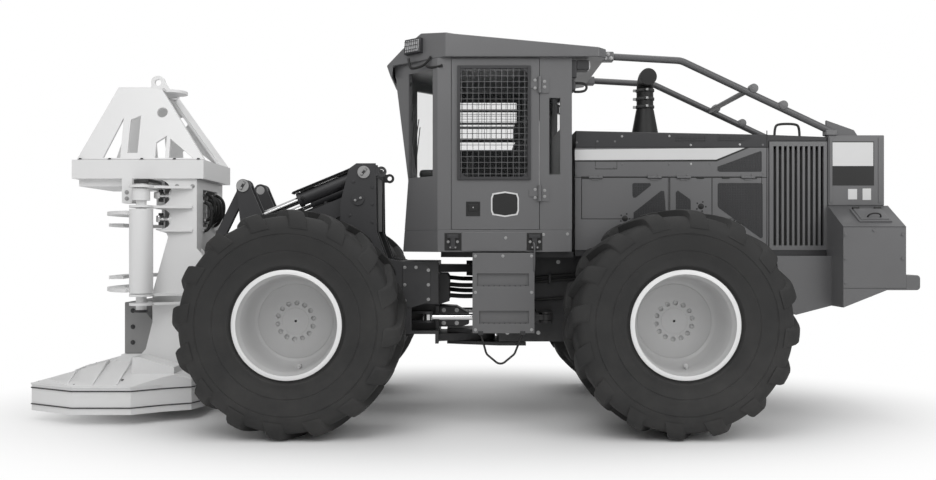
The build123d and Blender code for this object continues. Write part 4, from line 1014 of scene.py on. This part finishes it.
def makeDoorFittings():
    size = {"face": 0.75, "hinge": 0.758, "badgeX": 505, "badgeY": 204.2}
    x1, z1 = seenAt(466.0, 201.6, size["face"])
    x0, z0 = seenAt(480.2, 216.2, size["face"])
    cup = panelRing("door_latch", (x0, z0), (x1, z1), 0.012, 0.7535, 0.7475)
    floor = bar("cup", (x0 + 0.01, 0.747, z0 + 0.01), (x1 - 0.01, 0.7508, z1 - 0.01), 0.001)
    paddle = bar("paddle", (x0 + 0.02, 0.750, z0 + 0.045), (x1 - 0.02, 0.758, z1 - 0.022), 0.004)
    keepAll([cup, floor, paddle], "door_latch", bodyOf["cab_door"], "blackPaint")
    lock = drum("door_lock", ((x0 + x1) / 2, 0.7575, (z0 + z1) / 2 + 0.012), "y", 0.006, 0.004, 16, 0.001)
    keep(lock, bodyOf["cab_door"], "pinSteel")
    # The badge stays bare: a dark plate with a pale rim
    spots = [(491, 198), (492.5, 193.4), (505, 191.4), (517.4, 193.4), (518.9, 198), (518.9, 211),
             (517.4, 215), (505, 217), (492.5, 215), (491, 211)]
    rim = plate("badge_rim", seenOutline(spots, size["face"]), 0.748, 0.7520, "y", 0.001)
    keep(rim, bodyOf["cab_door"], "stripePaint")
    midX, midY = size["badgeX"], size["badgeY"]
    inner = [(midX + (px - midX) * 0.90, midY + (py - midY) * 0.88) for px, py in spots]
    face = plate("badge_plate", seenOutline(inner, size["face"]), 0.749, 0.7530, "y", 0.001)
    keep(face, bodyOf["cab_door"], "blackPaint")
    hinges = [  # name, body, spots on the picture
        ("door_hinge_bolts", bodyOf["cab_door"],
         [(535.1, 80.2), (535.1, 88), (535.1, 189.5), (535.1, 197.8)]),
        ("post_hinge_bolts", "rear_frame",
         [(544.6, 81.5), (544.6, 87), (544.6, 190.5), (544.6, 196.5)]),
    ]
    for name, body, rows in hinges:
        keep(bolts(name, spotsSeen(rows, size["hinge"]), "y", 0.009, 0.009), body, "pinSteel")


def makeCabMounts():
    size = {"face": 0.75, "side": 0.755, "foot": 0.035, "stalk": 0.022, "head": 0.05}
    high, low = seenAt(461.5, 232.0, size["side"]), seenAt(526.7, 251.2, size["side"])
    sill = bar("cab_sill_panel", (low[0], 0.748, low[1]), (high[0], 0.762, high[1]), 0.004)
    keep(sill, "rear_frame", "bodyPaint")
    shade, brackets, studs = [], [], []
    face = size["face"]
    for left, right in ((444.5, 461.2), (527.0, 542.4)):
        a, b = seenAt(left, 233.0, size["side"]), seenAt(right, 250.5, size["side"])
        # Behind each mount a thin black sheet: painted shade, the dark of the recess behind the bracket
        shade.append(bar("shadeSheet", (b[0], 0.745, b[1]), (a[0], 0.7525, a[1]), 0.002))
        mid, low, high = (a[0] + b[0]) / 2, b[1], a[1]
        parts = [  # name, front, from, to, edge
            ("foot", 0.775, low + 0.012, low + 0.04, 0.004), ("stalk", 0.768, low + 0.03, high - 0.03, 0.004),
            ("head", 0.772, high - 0.045, high - 0.012, 0.006),
        ]
        for name, front, z0, z1, edge in parts:
            half = size[name]
            brackets.append(bar(name, (mid - half, face, z0), (mid + half, front, z1), edge))
        for dx, dz in ((-0.04, 0.075), (0.04, 0.075), (-0.022, 0.026), (0.022, 0.026)):
            studs.append((mid + dx, 0.766, low + dz))
    keepAll(shade, "cab_mount_painted_shade", "rear_frame", "blackPaint")
    keepAll(brackets, "cab_mounts", "rear_frame", "chassisPaint")
    keep(bolts("cab_mount_bolts", studs, "y", 0.008, 0.012), "rear_frame", "pinSteel")
    skirt = [(410.5, 234), (424.4, 234), (436.7, 234), (543.5, 234.5), (567.5, 234)]
    spots = spotsSeen(skirt, face) + spotsSeen([(505.7, 237.9)], 0.762)
    spots = [spot for spot in spots if spot[0] < ahead(0.39)]
    keep(bolts("cab_skirt_bolts", spots, "y", 0.009, 0.007), "rear_frame", "pinSteel")


def makeRoofLamps():
    size = {"edge": 0.005, "wire": 0.003, "inner": 0.60, "outer": 0.735}
    housings, lenses, guards = [], [], []
    blocks = [  # start, half width, half height, depth, list it joins
        (0.0, 0.095, 0.066, 0.045, housings), (0.040, 0.080, 0.052, 0.008, lenses),
    ]
    for side in (1, -1):
        # A work lamp stands on each front corner of the roof, behind a small grille
        middle = Vector((ahead(0.600), side * 0.560, 3.275))
        out = Vector((0.62, side * 0.72, 0.10)).normalized()
        across = Vector((-out.y, out.x, 0)).normalized()
        up = out.cross(across).normalized()
        if up.z < 0:
            up = -up
        for start, half, tall, deep, target in blocks:
            corners = []
            for d in (0, deep):
                for a, b in ((-1, -1), (1, -1), (1, 1), (-1, 1)):
                    corners.append(middle + out * (start + d) + across * a * half + up * b * tall)
            quads = [(0, 1, 2, 3), (4, 7, 6, 5), (0, 4, 5, 1), (1, 5, 6, 2), (2, 6, 7, 3), (3, 7, 4, 0)]
            target.append(bevelEdges(faceOut(meshOf("lampBlock", corners, quads)), size["edge"]))
        for step in range(-3, 4):
            a = middle + out * 0.056 + across * step * 0.026
            guards.append((tuple(a - up * 0.056), tuple(a + up * 0.056)))
        for step in (-1, 0, 1):
            a = middle + out * 0.058 + up * step * 0.036
            guards.append((tuple(a - across * 0.084), tuple(a + across * 0.084)))
    keepAll(housings, "roof_lamp_housings", "rear_frame", "chassisPaint", "dark_paint")
    keepAll(lenses, "roof_lamp_lenses", "rear_frame", "lampLens")
    keep(wires("roof_lamp_guards", guards, size["wire"]), "rear_frame", "blackPaint")
    boxes, rearLenses = [], []
    for side in (1, -1):
        y0, y1 = sorted((side * size["inner"], side * size["outer"]))
        boxes.append(box("lampBox", (-0.800, y0, 2.975), (-0.655, y1, 3.128), 0.010))
        boxes.append(box("lampBack", (-0.905, y0, 3.045), (-0.800, y1, 3.128), 0.008))
        boxes.append(box("lowerBox", (-0.790, y0, 2.862), (-0.660, y1, 2.955), 0.016))
        rearLenses.append(box("rearLens", (-0.915, y0 + 0.012, 3.055), (-0.903, y1 - 0.012, 3.118), 0.003))
    keepAll(boxes, "rear_lamp_boxes", "rear_frame", "topPaint", "black_paint")
    keepAll(rearLenses, "rear_lamp_lenses", "rear_frame", "lampLens")


def makeCabHandles():
    size = {"rod": 0.011, "thin": 0.008, "wiper": 0.006}
    rods = []
    for side in (1, -1):
        y = side * 0.66
        rods.append(tube("rearLoop", [(-0.785, y, 2.94), (-0.87, y, 2.945), (-0.90, y, 2.905),
                                      (-0.87, y, 2.862), (-0.785, y, 2.866)], size["rod"]))
        rods.append(tube("visorLoop", [(0.66, side * 0.56, 3.175), (0.655, side * 0.575, 3.085),
                                       (0.60, side * 0.60, 3.080), (0.50, side * 0.68, 3.098),
                                       (0.46, side * 0.70, 3.165)], size["rod"]))
        rods.append(tube("mirrorArm", [(0.50, side * 0.672, 3.09), (0.47, side * 0.695, 3.055),
                                       (0.36, side * 0.768, 3.075)], size["rod"]))
    keepAll(rods, "cab_handles", "rear_frame", "blackPaint")
    grab = tube("door_grab_rod", [(-0.425, 0.775, 1.555), (-0.43, 0.792, 1.535), (-0.43, 0.796, 1.43),
                                  (-0.43, 0.796, 1.33), (-0.425, 0.788, 1.31)], size["thin"])
    keep(grab, "rear_frame", "railPaint")
    rods = []
    for side in (1, -1):
        rods.append(tube("glassLoop", [(0.735, side * 0.34, 2.99), (0.733, side * 0.345, 2.935),
                                       (0.65, side * 0.445, 2.930), (0.645, side * 0.45, 2.985)],
                         size["thin"]))
        arm = ((ahead(0.664), side * 0.36, 2.16), (ahead(0.610), side * 0.465, 2.70))
        blade = ((ahead(0.668), side * 0.36, 2.40), (ahead(0.622), side * 0.47, 2.78))
        rods.append(wires("wiper", [arm, blade], size["wiper"]))
    keepAll(rods, "corner_glass_handles", "rear_frame", "blackPaint")


def makeCabInside():
    size = {"half": 0.245, "stick": 0.32}
    y = size["half"]
    pads = [
        box("cushion", (-0.27, -y, 1.90), (0.185, y, 1.995), 0.035),
        box("back", (-0.395, -0.235, 1.975), (-0.290, 0.235, 2.50), 0.04),
        box("backLower", (-0.345, -0.20, 1.98), (-0.262, 0.20, 2.20), 0.03),
        box("headrest", (-0.385, -0.135, 2.515), (-0.295, 0.135, 2.68), 0.035),
        box("boxTop", (-0.24, -0.175, 1.80), (0.09, 0.175, 1.895), 0.02),
        box("boxLow", (-0.22, -0.16, 1.502), (0.07, 0.16, 1.60), 0.02),
    ]
    for step in range(5):
        z = 1.615 + step * 0.037
        pads.append(box("bellows", (-0.205, -0.15, z), (0.055, 0.15, z + 0.028), 0.012))
    keepAll(pads, "operator_seat", "rear_frame", "seatCloth", replaces=["cab_seat"])
    posts = []
    for side in (1, -1):
        a, b = sorted((side * 0.27, side * 0.37))
        posts.append(box("arm", (-0.30, a, 2.085), (0.16, b, 2.135), 0.02))
        posts.append(drum("stick", (ahead(0.11), side * size["stick"], 2.13), "z", 0.016, 0.17, 16, 0.005))
        posts.append(drum("knobTop", (ahead(0.11), side * size["stick"], 2.27), "z", 0.026, 0.075, 20, 0.02))
        posts.append(box("armFoot", (-0.26, a, 1.96), (-0.16, b, 2.09), 0.012))
    posts.append(box("column", (0.40, -0.06, 1.50), (0.50, 0.06, 2.22), 0.02))
    posts.append(box("dash", (0.42, -0.30, 2.14), (0.58, 0.30, 2.22), 0.03))
    keepAll(posts, "operator_controls", "rear_frame", "blackPaint")


makeDoorMesh()
makeFarMesh()
makeDoorFittings()
makeCabMounts()
makeRoofLamps()
makeCabHandles()
makeCabInside()
print("cab details made")


# Head: bolts, clamp cylinders, hoses, cover ribs and a black strip painted as the shadow in the slot round
# the saw

def makeHeadBolts():
    size = {"beamTop": 2.296, "radius": 0.013, "bolt": 0.446}
    tops = []
    for side in (1, -1):
        for x in (3.600, 3.337, 3.05, 2.758, 2.544):
            tops.append((ahead(x), side * size["bolt"], size["beamTop"]))
        for x, y, z in ((3.11, 0.74, 0.365), (3.30, 0.79, 0.334), (3.50, 0.80, 0.334), (3.70, 0.70, 0.334),
                        (3.88, 0.62, 0.334)):
            tops.append((ahead(x), side * y, z))
    keep(bolts("head_top_bolts", tops, "z", size["radius"], 0.014), "felling_head", "topPaint")
    spots = spotsAhead([(3.145, 0.945), (3.145, 0.80), (3.145, 0.66)], 0.400)
    keepBolts("butt_plate_bolts", spots, "y", 0.014, 0.014, "felling_head", "topPaint")
    spots = spotsAhead([(3.155, 2.00), (3.155, 1.945)], 0.520)
    spots += spotsAhead([(2.74, 2.06), (2.60, 2.06), (2.60, 1.20), (2.60, 1.02), (2.60, 0.86)], 0.430)
    keepBolts("mast_bolts", spots, "y", size["radius"], 0.013, "felling_head")


def makeClampGear():
    # Hydraulic cylinders in the two notches, with nuts on the clamp pins
    size = {"body": 0.050, "rod": 0.019, "side": 0.375, "nut": 0.062}
    bodies, rods, nuts = [], [], []
    side = size["side"]
    for z, x in ((1.976, 2.925), (1.766, 2.905)):
        bodies.append(drum("clampCylinder", (ahead(2.60), side, z), "x", size["body"], 0.19, 32, 0.006))
        bodies.append(drum("clampGland", (ahead(2.785), side, z), "x", size["body"] + 0.008, 0.03, 32, 0.004))
        rods.append(drum("clampRod", (ahead(2.80), side, z), "x", size["rod"], 0.10, 24, 0.003))
        rods.append(box("clampLink", (2.872, 0.360, z - 0.03), (x, 0.505, z + 0.03), 0.01))
        nuts.append(drum("linkPin", (ahead(2.895), 0.395, z - 0.055), "z", 0.022, 0.11, 20, 0.004))
    for z, tall in ((2.085, 0.020), (2.072, 0.020), (0.945, 0.022)):
        nuts.append(drum("pinNut", (ahead(3.0), 0.6, z), "z", size["nut"], tall, 6, 0.004))
    keepBoth(bodies, "clamp_cylinders", "felling_head", "palePaint")
    keepBoth(rods, "clamp_cylinder_rods", "felling_head", "rodChrome")
    keepBoth(nuts, "clamp_pin_nuts", "felling_head", "topPaint")


def makeHeadHoses():
    size = {"hose": 0.014, "cuff": 0.019, "stem": 2.60, "knee": 2.545}
    hoses, cuffs = [], []
    runs = [  # distance from the middle, upper end, lower end, bow
        (0.05, 1.99, 1.74, 0.075), (0.10, 1.96, 1.71, 0.060), (0.16, 2.01, 1.76, 0.070),
        (0.21, 1.93, 1.66, 0.055),
    ]
    stem, knee = size["stem"], size["knee"]
    for distance, top, low, bow in runs:
        for side in (1, -1):
            y = side * distance
            hoses.append(tube("hose", [(stem, y, top), (knee, y, top), (knee - bow, y, top - 0.06),
                                       (knee - bow, y, low + 0.06), (2.55, y, low - 0.01), (stem, y, low)],
                              size["hose"]))
    keepAll(hoses, "head_hoses", "felling_head", "rubber")
    for distance, top, low, bow in runs:
        for side in (1, -1):
            for z in (top, low):
                end = (ahead(2.555), side * distance, z)
                cuffs.append(drum("cuff", end, "x", size["cuff"], 0.05, 18, 0.003))
    keepAll(cuffs, "head_hose_ends", "felling_head", "pinSteel")


def makeSawTrim():
    size = {"slot": 0.0065, "rib": 0.014, "lip": 0.009}
    plan = outlineAhead([(2.505, 0.462), (2.563, 0.6035), (2.7815, 0.7035), (3.001, 0.8535),
                         (3.501, 0.8535), (3.952, 0.623)])
    lines = []
    for here, there in zip(plan, plan[1:]):
        for z in (0.150, 0.292):
            lines.append(((*here, z), (*there, z)))
    # Black square wires along the housing's sides at two heights: painted shadow where the slot round the saw
    # lies
    slot = otherSide(wires("saw_slot_shadow", lines, size["slot"]))
    keep(slot, "felling_head", "topPaint")
    ribs = []
    for x, edge in ((3.13, [(0.44, 0.47), (0.82, 0.32), (0.82, 0.352), (0.46, 0.532), (0.44, 0.532)]),
                    (3.34, [(0.44, 0.45), (0.82, 0.32), (0.82, 0.352), (0.50, 0.508), (0.44, 0.508)]),
                    (3.56, [(0.44, 0.40), (0.80, 0.32), (0.80, 0.352), (0.63, 0.446), (0.44, 0.452)])):
        ribs.append(plate("rib", edge, ahead(x) - size["rib"] / 2, ahead(x) + size["rib"] / 2, "x", 0.003))
    keepBoth(ribs, "saw_cover_ribs", "felling_head", "palePaint")
    lip = []
    for here, there in zip(plan[2:], plan[3:]):
        lip.append(((here[0], here[1] - 0.004, 0.326), (there[0], there[1] - 0.004, 0.326)))
    keep(otherSide(wires("saw_cover_lip", lip, size["lip"])), "felling_head", "palePaint")


makeHeadBolts()
makeClampGear()
makeHeadHoses()
makeSawTrim()
print("head details made")


# Linkage: pin keepers, cylinder lines and the plate over each tilt cylinder

def makeKeepers():
    size = {"long": 0.040, "tall": 0.011, "thick": 0.007, "bolt": 0.026}
    pivots = [  # name, body, x, z, face, turn
        ("boom", "lift_arm", 1.117, 1.943, 0.474, 0.4), ("base", "front_frame", 1.066, 2.184, 0.4723, 0.9),
        ("lever", "levers", 2.081, 1.544, 0.4423, 0.4), ("top", "levers", 2.151, 2.064, 0.4423, 1.1),
        ("head", "felling_head", 2.428, 0.834, 0.4423, 0.3),
    ]
    for name, body, x, z, face, turn in pivots:
        proud = face + size["thick"]
        strap = bar("strap", (-size["long"], face, -size["tall"]), (size["long"], proud, size["tall"]), 0.002)
        strap.rotation_euler = (0, turn, 0)
        strap.location = (ahead(x), 0, z)
        settle(strap)
        keepBoth([strap], f"{name}_pin_keeper", body, "chassisPaint", "steel")
        spots = []
        for along in (-size["bolt"], size["bolt"]):
            spots.append((ahead(x) + along * math.cos(turn), proud, z - along * math.sin(turn)))
        keepBolts(f"{name}_keeper_bolts", spots, "y", 0.0075, 0.008, body)


tiltRun = math.hypot(0.964, 0.399)  # tilt cylinder's run, alongside the lift arm
tiltWay = (0.964 / tiltRun, -0.399 / tiltRun)


def makeCylinderLines():
    size = {"line": 0.008, "shieldIn": 0.285, "shieldOut": 0.415}
    ux, uz = tiltWay
    nx, nz = -uz, ux

    def spot(along, up, y):
        return (ahead(1.066) + ux * along + nx * up, y, 2.184 + uz * along + nz * up)

    def flat(rows):
        return [spot(along, up, 0)[::2] for along, up in rows]

    cover = flat([(0.10, 0.078), (0.655, 0.078), (0.675, 0.070), (0.675, 0.079), (0.658, 0.087),
                  (0.10, 0.087)])
    shields = [plate("shield", cover, size["shieldIn"], size["shieldOut"], "y", 0.002)]
    for along in (0.16, 0.50):
        foot = flat([(along, 0.055), (along + 0.05, 0.055), (along + 0.05, 0.08), (along, 0.08)])
        shields.append(plate("shieldFoot", foot, 0.31, 0.39, "y", 0.002))
    keepBoth(shields, "tilt_cylinder_shields", "tilt_barrels", "topPaint", "chassis")
    lines = [pipe("line", [spot(0.10, 0.055, 0.388), spot(0.14, 0.066, 0.396), spot(0.55, 0.066, 0.396),
                           spot(0.60, 0.058, 0.388)], size["line"])]
    for along in (0.11, 0.60):
        x, y, z = spot(along, 0.0, 0.405)
        lines.append(drum("port", (x, 0.402, z), "y", 0.017, 0.022, 20, 0.003))
    keepBoth(lines, "tilt_cylinder_lines", "tilt_barrels", "rubber", "chassis")
    studs = [spot(0.12, 0.087, 0.35), spot(0.62, 0.087, 0.35)]
    heads = [drum("stud", (x, y, z - 0.004), "z", 0.010, 0.012, 6, 0.002) for x, y, z in studs]
    keepBoth(heads, "tilt_shield_studs", "tilt_barrels", "pinSteel")


def makeBoomHoses():
    size = {"hose": 0.013}
    ux, uz = tiltWay
    hoses, clips = [], []
    for y in (0.255, 0.285):
        points = []
        for along, up in ((0.10, 0.03), (0.25, 0.084), (0.50, 0.090), (0.75, 0.088), (0.90, 0.04)):
            points.append((ahead(1.117) + ux * along - uz * up, y, 1.943 + uz * along + ux * up))
        hoses.append(pipe("boomHose", points, size["hose"]))
    for along in (0.30, 0.62):
        x, z = ahead(1.117) + ux * along - uz * 0.088, 1.943 + uz * along + ux * 0.088
        clips.append(bar("clip", (x - 0.014, 0.238, z - 0.018), (x + 0.014, 0.318, z + 0.018), 0.004))
    keepBoth(hoses, "boom_hoses", "lift_arm", "rubber")
    keepBoth(clips, "boom_hose_clips", "lift_arm", "chassisPaint")


makeKeepers()
makeCylinderLines()
makeBoomHoses()
print("linkage details made")


# Frames: hoses at the hinge, covers, bolts, steps

def makeHingeHoses():
    size = {"hose": 0.021, "sideHose": 0.013, "casting": 0.125}
    front, rear = [], []
    for y, z in ((-0.070, 1.215), (0.055, 1.160), (-0.045, 1.105), (0.070, 1.060)):
        front.append(tube("hoseFront", [(0.405, y * 2, z + 0.012), (0.30, y * 2, z + 0.010),
                                        (0.18, y * 1.5, z - 0.004), (0.02, y, z)], size["hose"]))
        rear.append(tube("hoseRear", [(-0.135, y * 2, z + 0.014), (-0.08, y * 1.6, z + 0.008),
                                      (-0.02, y, z), (0.02, y, z)], size["hose"]))
    nose = outlineAhead([(0.305, 1.02), (0.41, 0.985), (0.41, 1.27), (0.325, 1.27), (0.305, 1.24)])
    shell = [plate("nose", nose, y - 0.012, y + 0.012, "y", 0.004) for y in (-0.21, 0.21)]
    casting = outlineAhead([(0.125, 0.80), (0.20, 0.775), (0.41, 0.775), (0.41, 0.975), (0.24, 0.965),
                            (0.125, 0.90)])
    shell.append(plate("casting", casting, -size["casting"], size["casting"], "y", 0.012))
    keepAll(shell, "hinge_nose", "front_frame", "chassisPaint")
    rows = [(0.17, 0.86), (0.24, 0.93), (0.24, 0.81), (0.36, 0.93), (0.36, 0.81)]
    keepBolts("hinge_nose_bolts", spotsAhead(rows, size["casting"]), "y", 0.013, 0.014, "front_frame")
    keepAll(front, "hinge_hoses_front", "front_frame", "rubber")
    keepAll(rear, "hinge_hoses_rear", "rear_frame", "rubber")
    band = [drum("swivel", (ahead(0.02), 0, 1.03), "z", 0.052, 0.21, 32, 0.01),
            drum("swivelCap", (ahead(0.02), 0, 0.985), "z", 0.070, 0.045, 32, 0.008)]
    keepAll(band, "hose_swivel", "rear_frame", "chassisPaint")
    hoses = []
    for z, y in ((1.245, 0.352), (1.205, 0.352), (1.04, 0.350)):
        hoses.append(tube("sideHose", [(-0.16, 0.325, z), (-0.20, y, z), (-0.42, y, z - 0.01),
                                       (-0.66, y, z + 0.015), (-0.90, y, z + 0.03)], size["sideHose"]))
    keepBoth(hoses, "frame_side_hoses", "rear_frame", "rubber")
    clips = []
    for x in (-0.30, -0.60, -0.85):
        clips.append(bar("clip", (ahead(x) - 0.012, 0.329, 1.185), (ahead(x) + 0.012, 0.372, 1.275), 0.004))
    keepBoth(clips, "frame_hose_clips", "rear_frame", "chassisPaint")


def makeFrameCovers():
    size = {"back": 0.458, "face": 0.460, "thick": 0.010}
    proud = size["face"] + size["thick"]
    upper = outlineAhead([(0.72, 1.36), (0.72, 1.02), (0.66, 0.97), (0.47, 0.97 + 0.06), (0.47, 1.33),
                          (0.50, 1.36)])
    lower = outlineAhead([(1.16, 0.95), (1.10, 0.775), (0.68, 0.775), (0.68, 0.88), (0.74, 0.95)])
    covers = [plate("cover", outline, size["back"], proud, "y", 0.003) for outline in (upper, lower)]
    keepBoth(covers, "front_frame_covers", "front_frame", "chassisPaint")
    rows = [(0.70, 1.335), (0.70, 1.18), (0.70, 1.04), (0.49, 1.31), (0.49, 1.18), (0.49, 1.05),
            (0.60, 1.335), (1.10, 0.92), (0.92, 0.92), (0.75, 0.92), (0.71, 0.80), (0.90, 0.80), (1.08, 0.80)]
    keepBolts("front_cover_bolts", spotsAhead(rows, proud), "y", 0.010, 0.009, "front_frame")
    rows = [(0.99, 1.74), (0.99, 1.90), (0.99, 2.05), (1.19, 1.80), (1.16, 2.10), (1.02, 1.50), (1.20, 1.50),
            (1.34, 1.38), (1.50, 1.32), (1.70, 1.29), (1.86, 1.27)]
    keepBolts("tower_bolts", spotsAhead(rows, size["face"]), "y", 0.012, 0.010, "front_frame",
              "chassisPaint")
    rows = [(-0.22, 1.38), (-0.45, 1.38), (-0.68, 1.38), (-0.22, 0.74), (-0.50, 0.74), (-0.80, 0.74),
            (-2.30, 1.20), (-2.55, 1.28), (-2.75, 1.36)]
    keepBolts("rear_frame_bolts", spotsAhead(rows, 0.330), "y", 0.012, 0.010, "rear_frame")


def makeStepGrips():
    size = {"face": 0.790, "teeth": 9, "pitch": 0.045}
    teeth = []
    for z, x1 in ((1.18, 0.055), (0.86, 0.035)):
        for index in range(size["teeth"]):
            x = -0.355 + index * size["pitch"]
            if x < x1 - 0.02:
                teeth.append(((ahead(x), 0.767, z + 0.006), (ahead(x), 0.786, z + 0.006)))
    keep(wires("step_grips", teeth, 0.006), bodyOf["ladder"], "chassisPaint", "body")
    rows = [(-0.405, 1.44), (-0.16, 1.44), (0.075, 1.44), (-0.405, 1.13), (0.075, 1.13), (-0.405, 0.81),
            (0.075, 0.81)]
    spots = spotsAhead(rows, size["face"])
    keep(bolts("ladder_bolts", spots, "y", 0.009, 0.008), bodyOf["ladder"], "pinSteel")
    clamps = []
    for x in (0.03, -0.33):
        low, high = (ahead(x) - 0.022, 0.752, 0.765), (ahead(x) + 0.022, 0.794, 0.80)
        clamps.append(bar("loopClamp", low, high, 0.005))
    keepAll(clamps, "step_loop_clamps", bodyOf["ladder"], "topPaint", "black_paint")


makeHingeHoses()
makeFrameCovers()
makeStepGrips()
print("frame details made")


# Rear: blank sign and labels, filler lid, rail feet, stack bands and lamps

def makeRearSigns():
    size = {"side": 0.62, "rim": 0.008, "label": 0.618}
    high, low = seenAt(831.5, 141.5, size["side"]), seenAt(874, 185.5, size["side"])
    backing = bar("sign_backing", (low[0], 0.617, low[1]), (high[0], 0.6225, high[1]), 0.0015)
    keep(otherSide(backing), "rear_frame", "blackPaint")
    rim = size["rim"]
    foot, head = (low[0] + rim, 0.619, low[1] + 0.17), (high[0] - rim, 0.6240, high[1] - rim)
    upper = bar("sign_plate", foot, head, 0.001)
    keep(otherSide(upper), "rear_frame", "stripePaint")
    labels = []
    for px, qx, py, qy in ((848, 857, 189, 199.5), (862.5, 871, 188.5, 200)):
        a, b = seenAt(px, py, size["side"]), seenAt(qx, qy, size["side"])
        labels.append(bar("label", (b[0], size["label"], b[1]), (a[0], 0.6225, a[1]), 0.001))
    keepBoth(labels, "blank_labels", "rear_frame", "stripePaint")
    rails = [box("edge", (-3.47, 0.612, 1.90), (-3.445, 0.626, 2.47), 0.004),
             box("edgeFront", (-3.045, 0.612, 1.90), (-3.02, 0.626, 2.47), 0.004)]
    keepBoth(rails, "tower_edges", "rear_frame", "bodyPaint")


def makeFillerLid():
    size = {"edge": 0.006, "rod": 0.007}
    lids, grips = [], []
    # The lids lie on the tank's sloping shoulder, measured from its upper edge
    out = Vector((0, 0.495, 0.869))
    down = Vector((0, 0.869, -0.495))
    start = Vector((0, 0.62, 1.878))
    layers = [  # rear, front, upper edge, lower edge, rise
        (-3.445, -3.165, 0.075, 0.305, 0.014), (-3.425, -3.185, 0.095, 0.285, 0.024),
    ]
    for x0, x1, d0, d1, lift in layers:
        corners = []
        for rise in (-0.004, lift):
            for x, d in ((x0, d0), (x1, d0), (x1, d1), (x0, d1)):
                corners.append(start + down * d + out * rise + Vector((ahead(x), 0, 0)))
        quads = [(0, 3, 2, 1), (4, 5, 6, 7), (0, 1, 5, 4), (1, 2, 6, 5), (2, 3, 7, 6), (3, 0, 4, 7)]
        lids.append(bevelEdges(faceOut(meshOf("lid", corners, quads)), size["edge"]))
    keepBoth(lids, "filler_lids", "rear_frame", "bodyPaint")
    at = start + down * 0.255 + out * 0.024
    grips.append(tube("grip", [(-3.36, at.y, at.z), (-3.36, at.y + 0.022, at.z + 0.030),
                               (-3.25, at.y + 0.022, at.z + 0.030), (-3.25, at.y, at.z)], size["rod"]))
    hinge = start + down * 0.088 + out * 0.022
    for x in (-3.40, -3.21):
        grips.append(drum("hinge", (ahead(x) - 0.03, hinge.y, hinge.z), "x", 0.010, 0.06, 16, 0.002))
    keepBoth(grips, "filler_lid_hardware", "rear_frame", "blackPaint")


def makeRailFeet():
    size = {"y": 0.590, "half": 0.045, "grab": 0.56, "rod": 0.011}
    shoes = []
    for side in (1, -1):
        y = side * size["y"]
        a, b = sorted((y - size["half"], y + size["half"]))
        shoes.append(box("roofShoe", (-1.135, a, 3.140), (-1.035, b, 3.222), 0.010))
        shoes.append(box("rearShoe", (-3.085, a, 2.492), (-2.985, b, 2.540), 0.008))
        for x, z in ((-2.36, 2.905), (-2.62, 2.758)):
            shoes.append(drum("sleeve", (ahead(x), y - side * 0.036, z), "y", 0.040, side * 0.072, 24, 0.006))
    keepAll(shoes, "rail_feet", "rear_frame", "bodyPaint", "rail_paint")
    rows = [(-1.110, 3.165), (-1.060, 3.165), (-1.085, 3.20)]
    spots = spotsAhead(rows, size["y"] + size["half"])
    keepBolts("rail_foot_bolts", spots, "y", 0.010, 0.008, "rear_frame")
    handle = []
    for side in (1, -1):
        y = side * size["grab"]
        handle.append(tube("hoodGrab", [(-2.56, y, 2.49), (-2.56, y, 2.575), (-2.60, y, 2.60),
                                        (-2.74, y, 2.60), (-2.78, y, 2.575), (-2.78, y, 2.485)], size["rod"]))
    keepAll(handle, "hood_grab_handles", "rear_frame", "blackPaint")


def makeStackBands():
    size = {"x": -1.53, "lug": 0.012, "bolts": 8, "ring": 0.150}
    levels = (2.83, 2.905, 2.985)
    bands = []
    for z in levels:
        profile = [(0.079, z - 0.012), (0.086, z - 0.012), (0.0875, z - 0.009), (0.0875, z + 0.009),
                   (0.086, z + 0.012), (0.079, z + 0.012)]
        bands.append(turned("band", profile, 40))
    flange = [(0.120, 2.543), (0.168, 2.543), (0.168, 2.556), (0.160, 2.560), (0.130, 2.562)]
    bands.append(turned("flange", flange, 48))
    group = joinAll(bands, "stack_bands")
    group.location = (ahead(size["x"]), 0, 0)
    smoothByAngle(settle(group), 40)
    keep(group, "rear_frame", "castIron")
    middle, spots = ahead(size["x"]), []
    for index in range(size["bolts"]):
        turn = index * math.pi / 4 + 0.3
        spots.append((middle + size["ring"] * math.cos(turn), size["ring"] * math.sin(turn), 2.560))
    keep(bolts("stack_flange_bolts", spots, "z", 0.010, 0.012), "rear_frame", "pinSteel")
    lugs, lug = [], size["lug"]
    for z in levels:
        lugs.append(bar("bandLug", (middle + 0.080, -lug, z - lug), (middle + 0.112, lug, z + lug), 0.003))
        lugs.append(bar("bandLug", (middle - lug, 0.080, z - lug), (middle + lug, 0.108, z + lug), 0.003))
    keepAll(lugs, "stack_band_lugs", "rear_frame", "pinSteel")


def makeTankTrim():
    size = {"face": 0.950}
    rows = [(-3.02, 1.22), (-3.02, 1.42), (-3.02, 1.62), (-3.50, 1.62), (-3.50, 1.42), (-3.26, 1.655)]
    keepBolts("tank_bolts", spotsAhead(rows, size["face"]), "y", 0.011, 0.009, "rear_frame",
              "bodyPaint")
    lamps, lenses = [], []
    for side in (1, -1):
        a, b = sorted((side * 0.66, side * 0.86))
        lamps.append(box("rearLamp", (-3.546, a, 1.50), (-3.525, b, 1.60), 0.006))
        lenses.append(box("rearLampLens", (-3.552, a + 0.012, 1.512), (-3.545, b - 0.012, 1.588), 0.003))
    keepAll(lamps, "rear_lamps", "rear_frame", "blackPaint")
    keepAll(lenses, "rear_lamp_glass", "rear_frame", "lampLens")
    seams = [box("seam", (-3.53, 0.948, 1.684), (-3.005, 0.9515, 1.6895), 0.0006),
             box("seamLow", (-3.53, 0.948, 1.170), (-3.005, 0.9515, 1.1745), 0.0006)]
    keepBoth(seams, "tank_seams", "rear_frame", "topPaint")


makeRearSigns()
makeFillerLid()
makeRailFeet()
makeStackBands()
makeTankTrim()
print("rear details made")
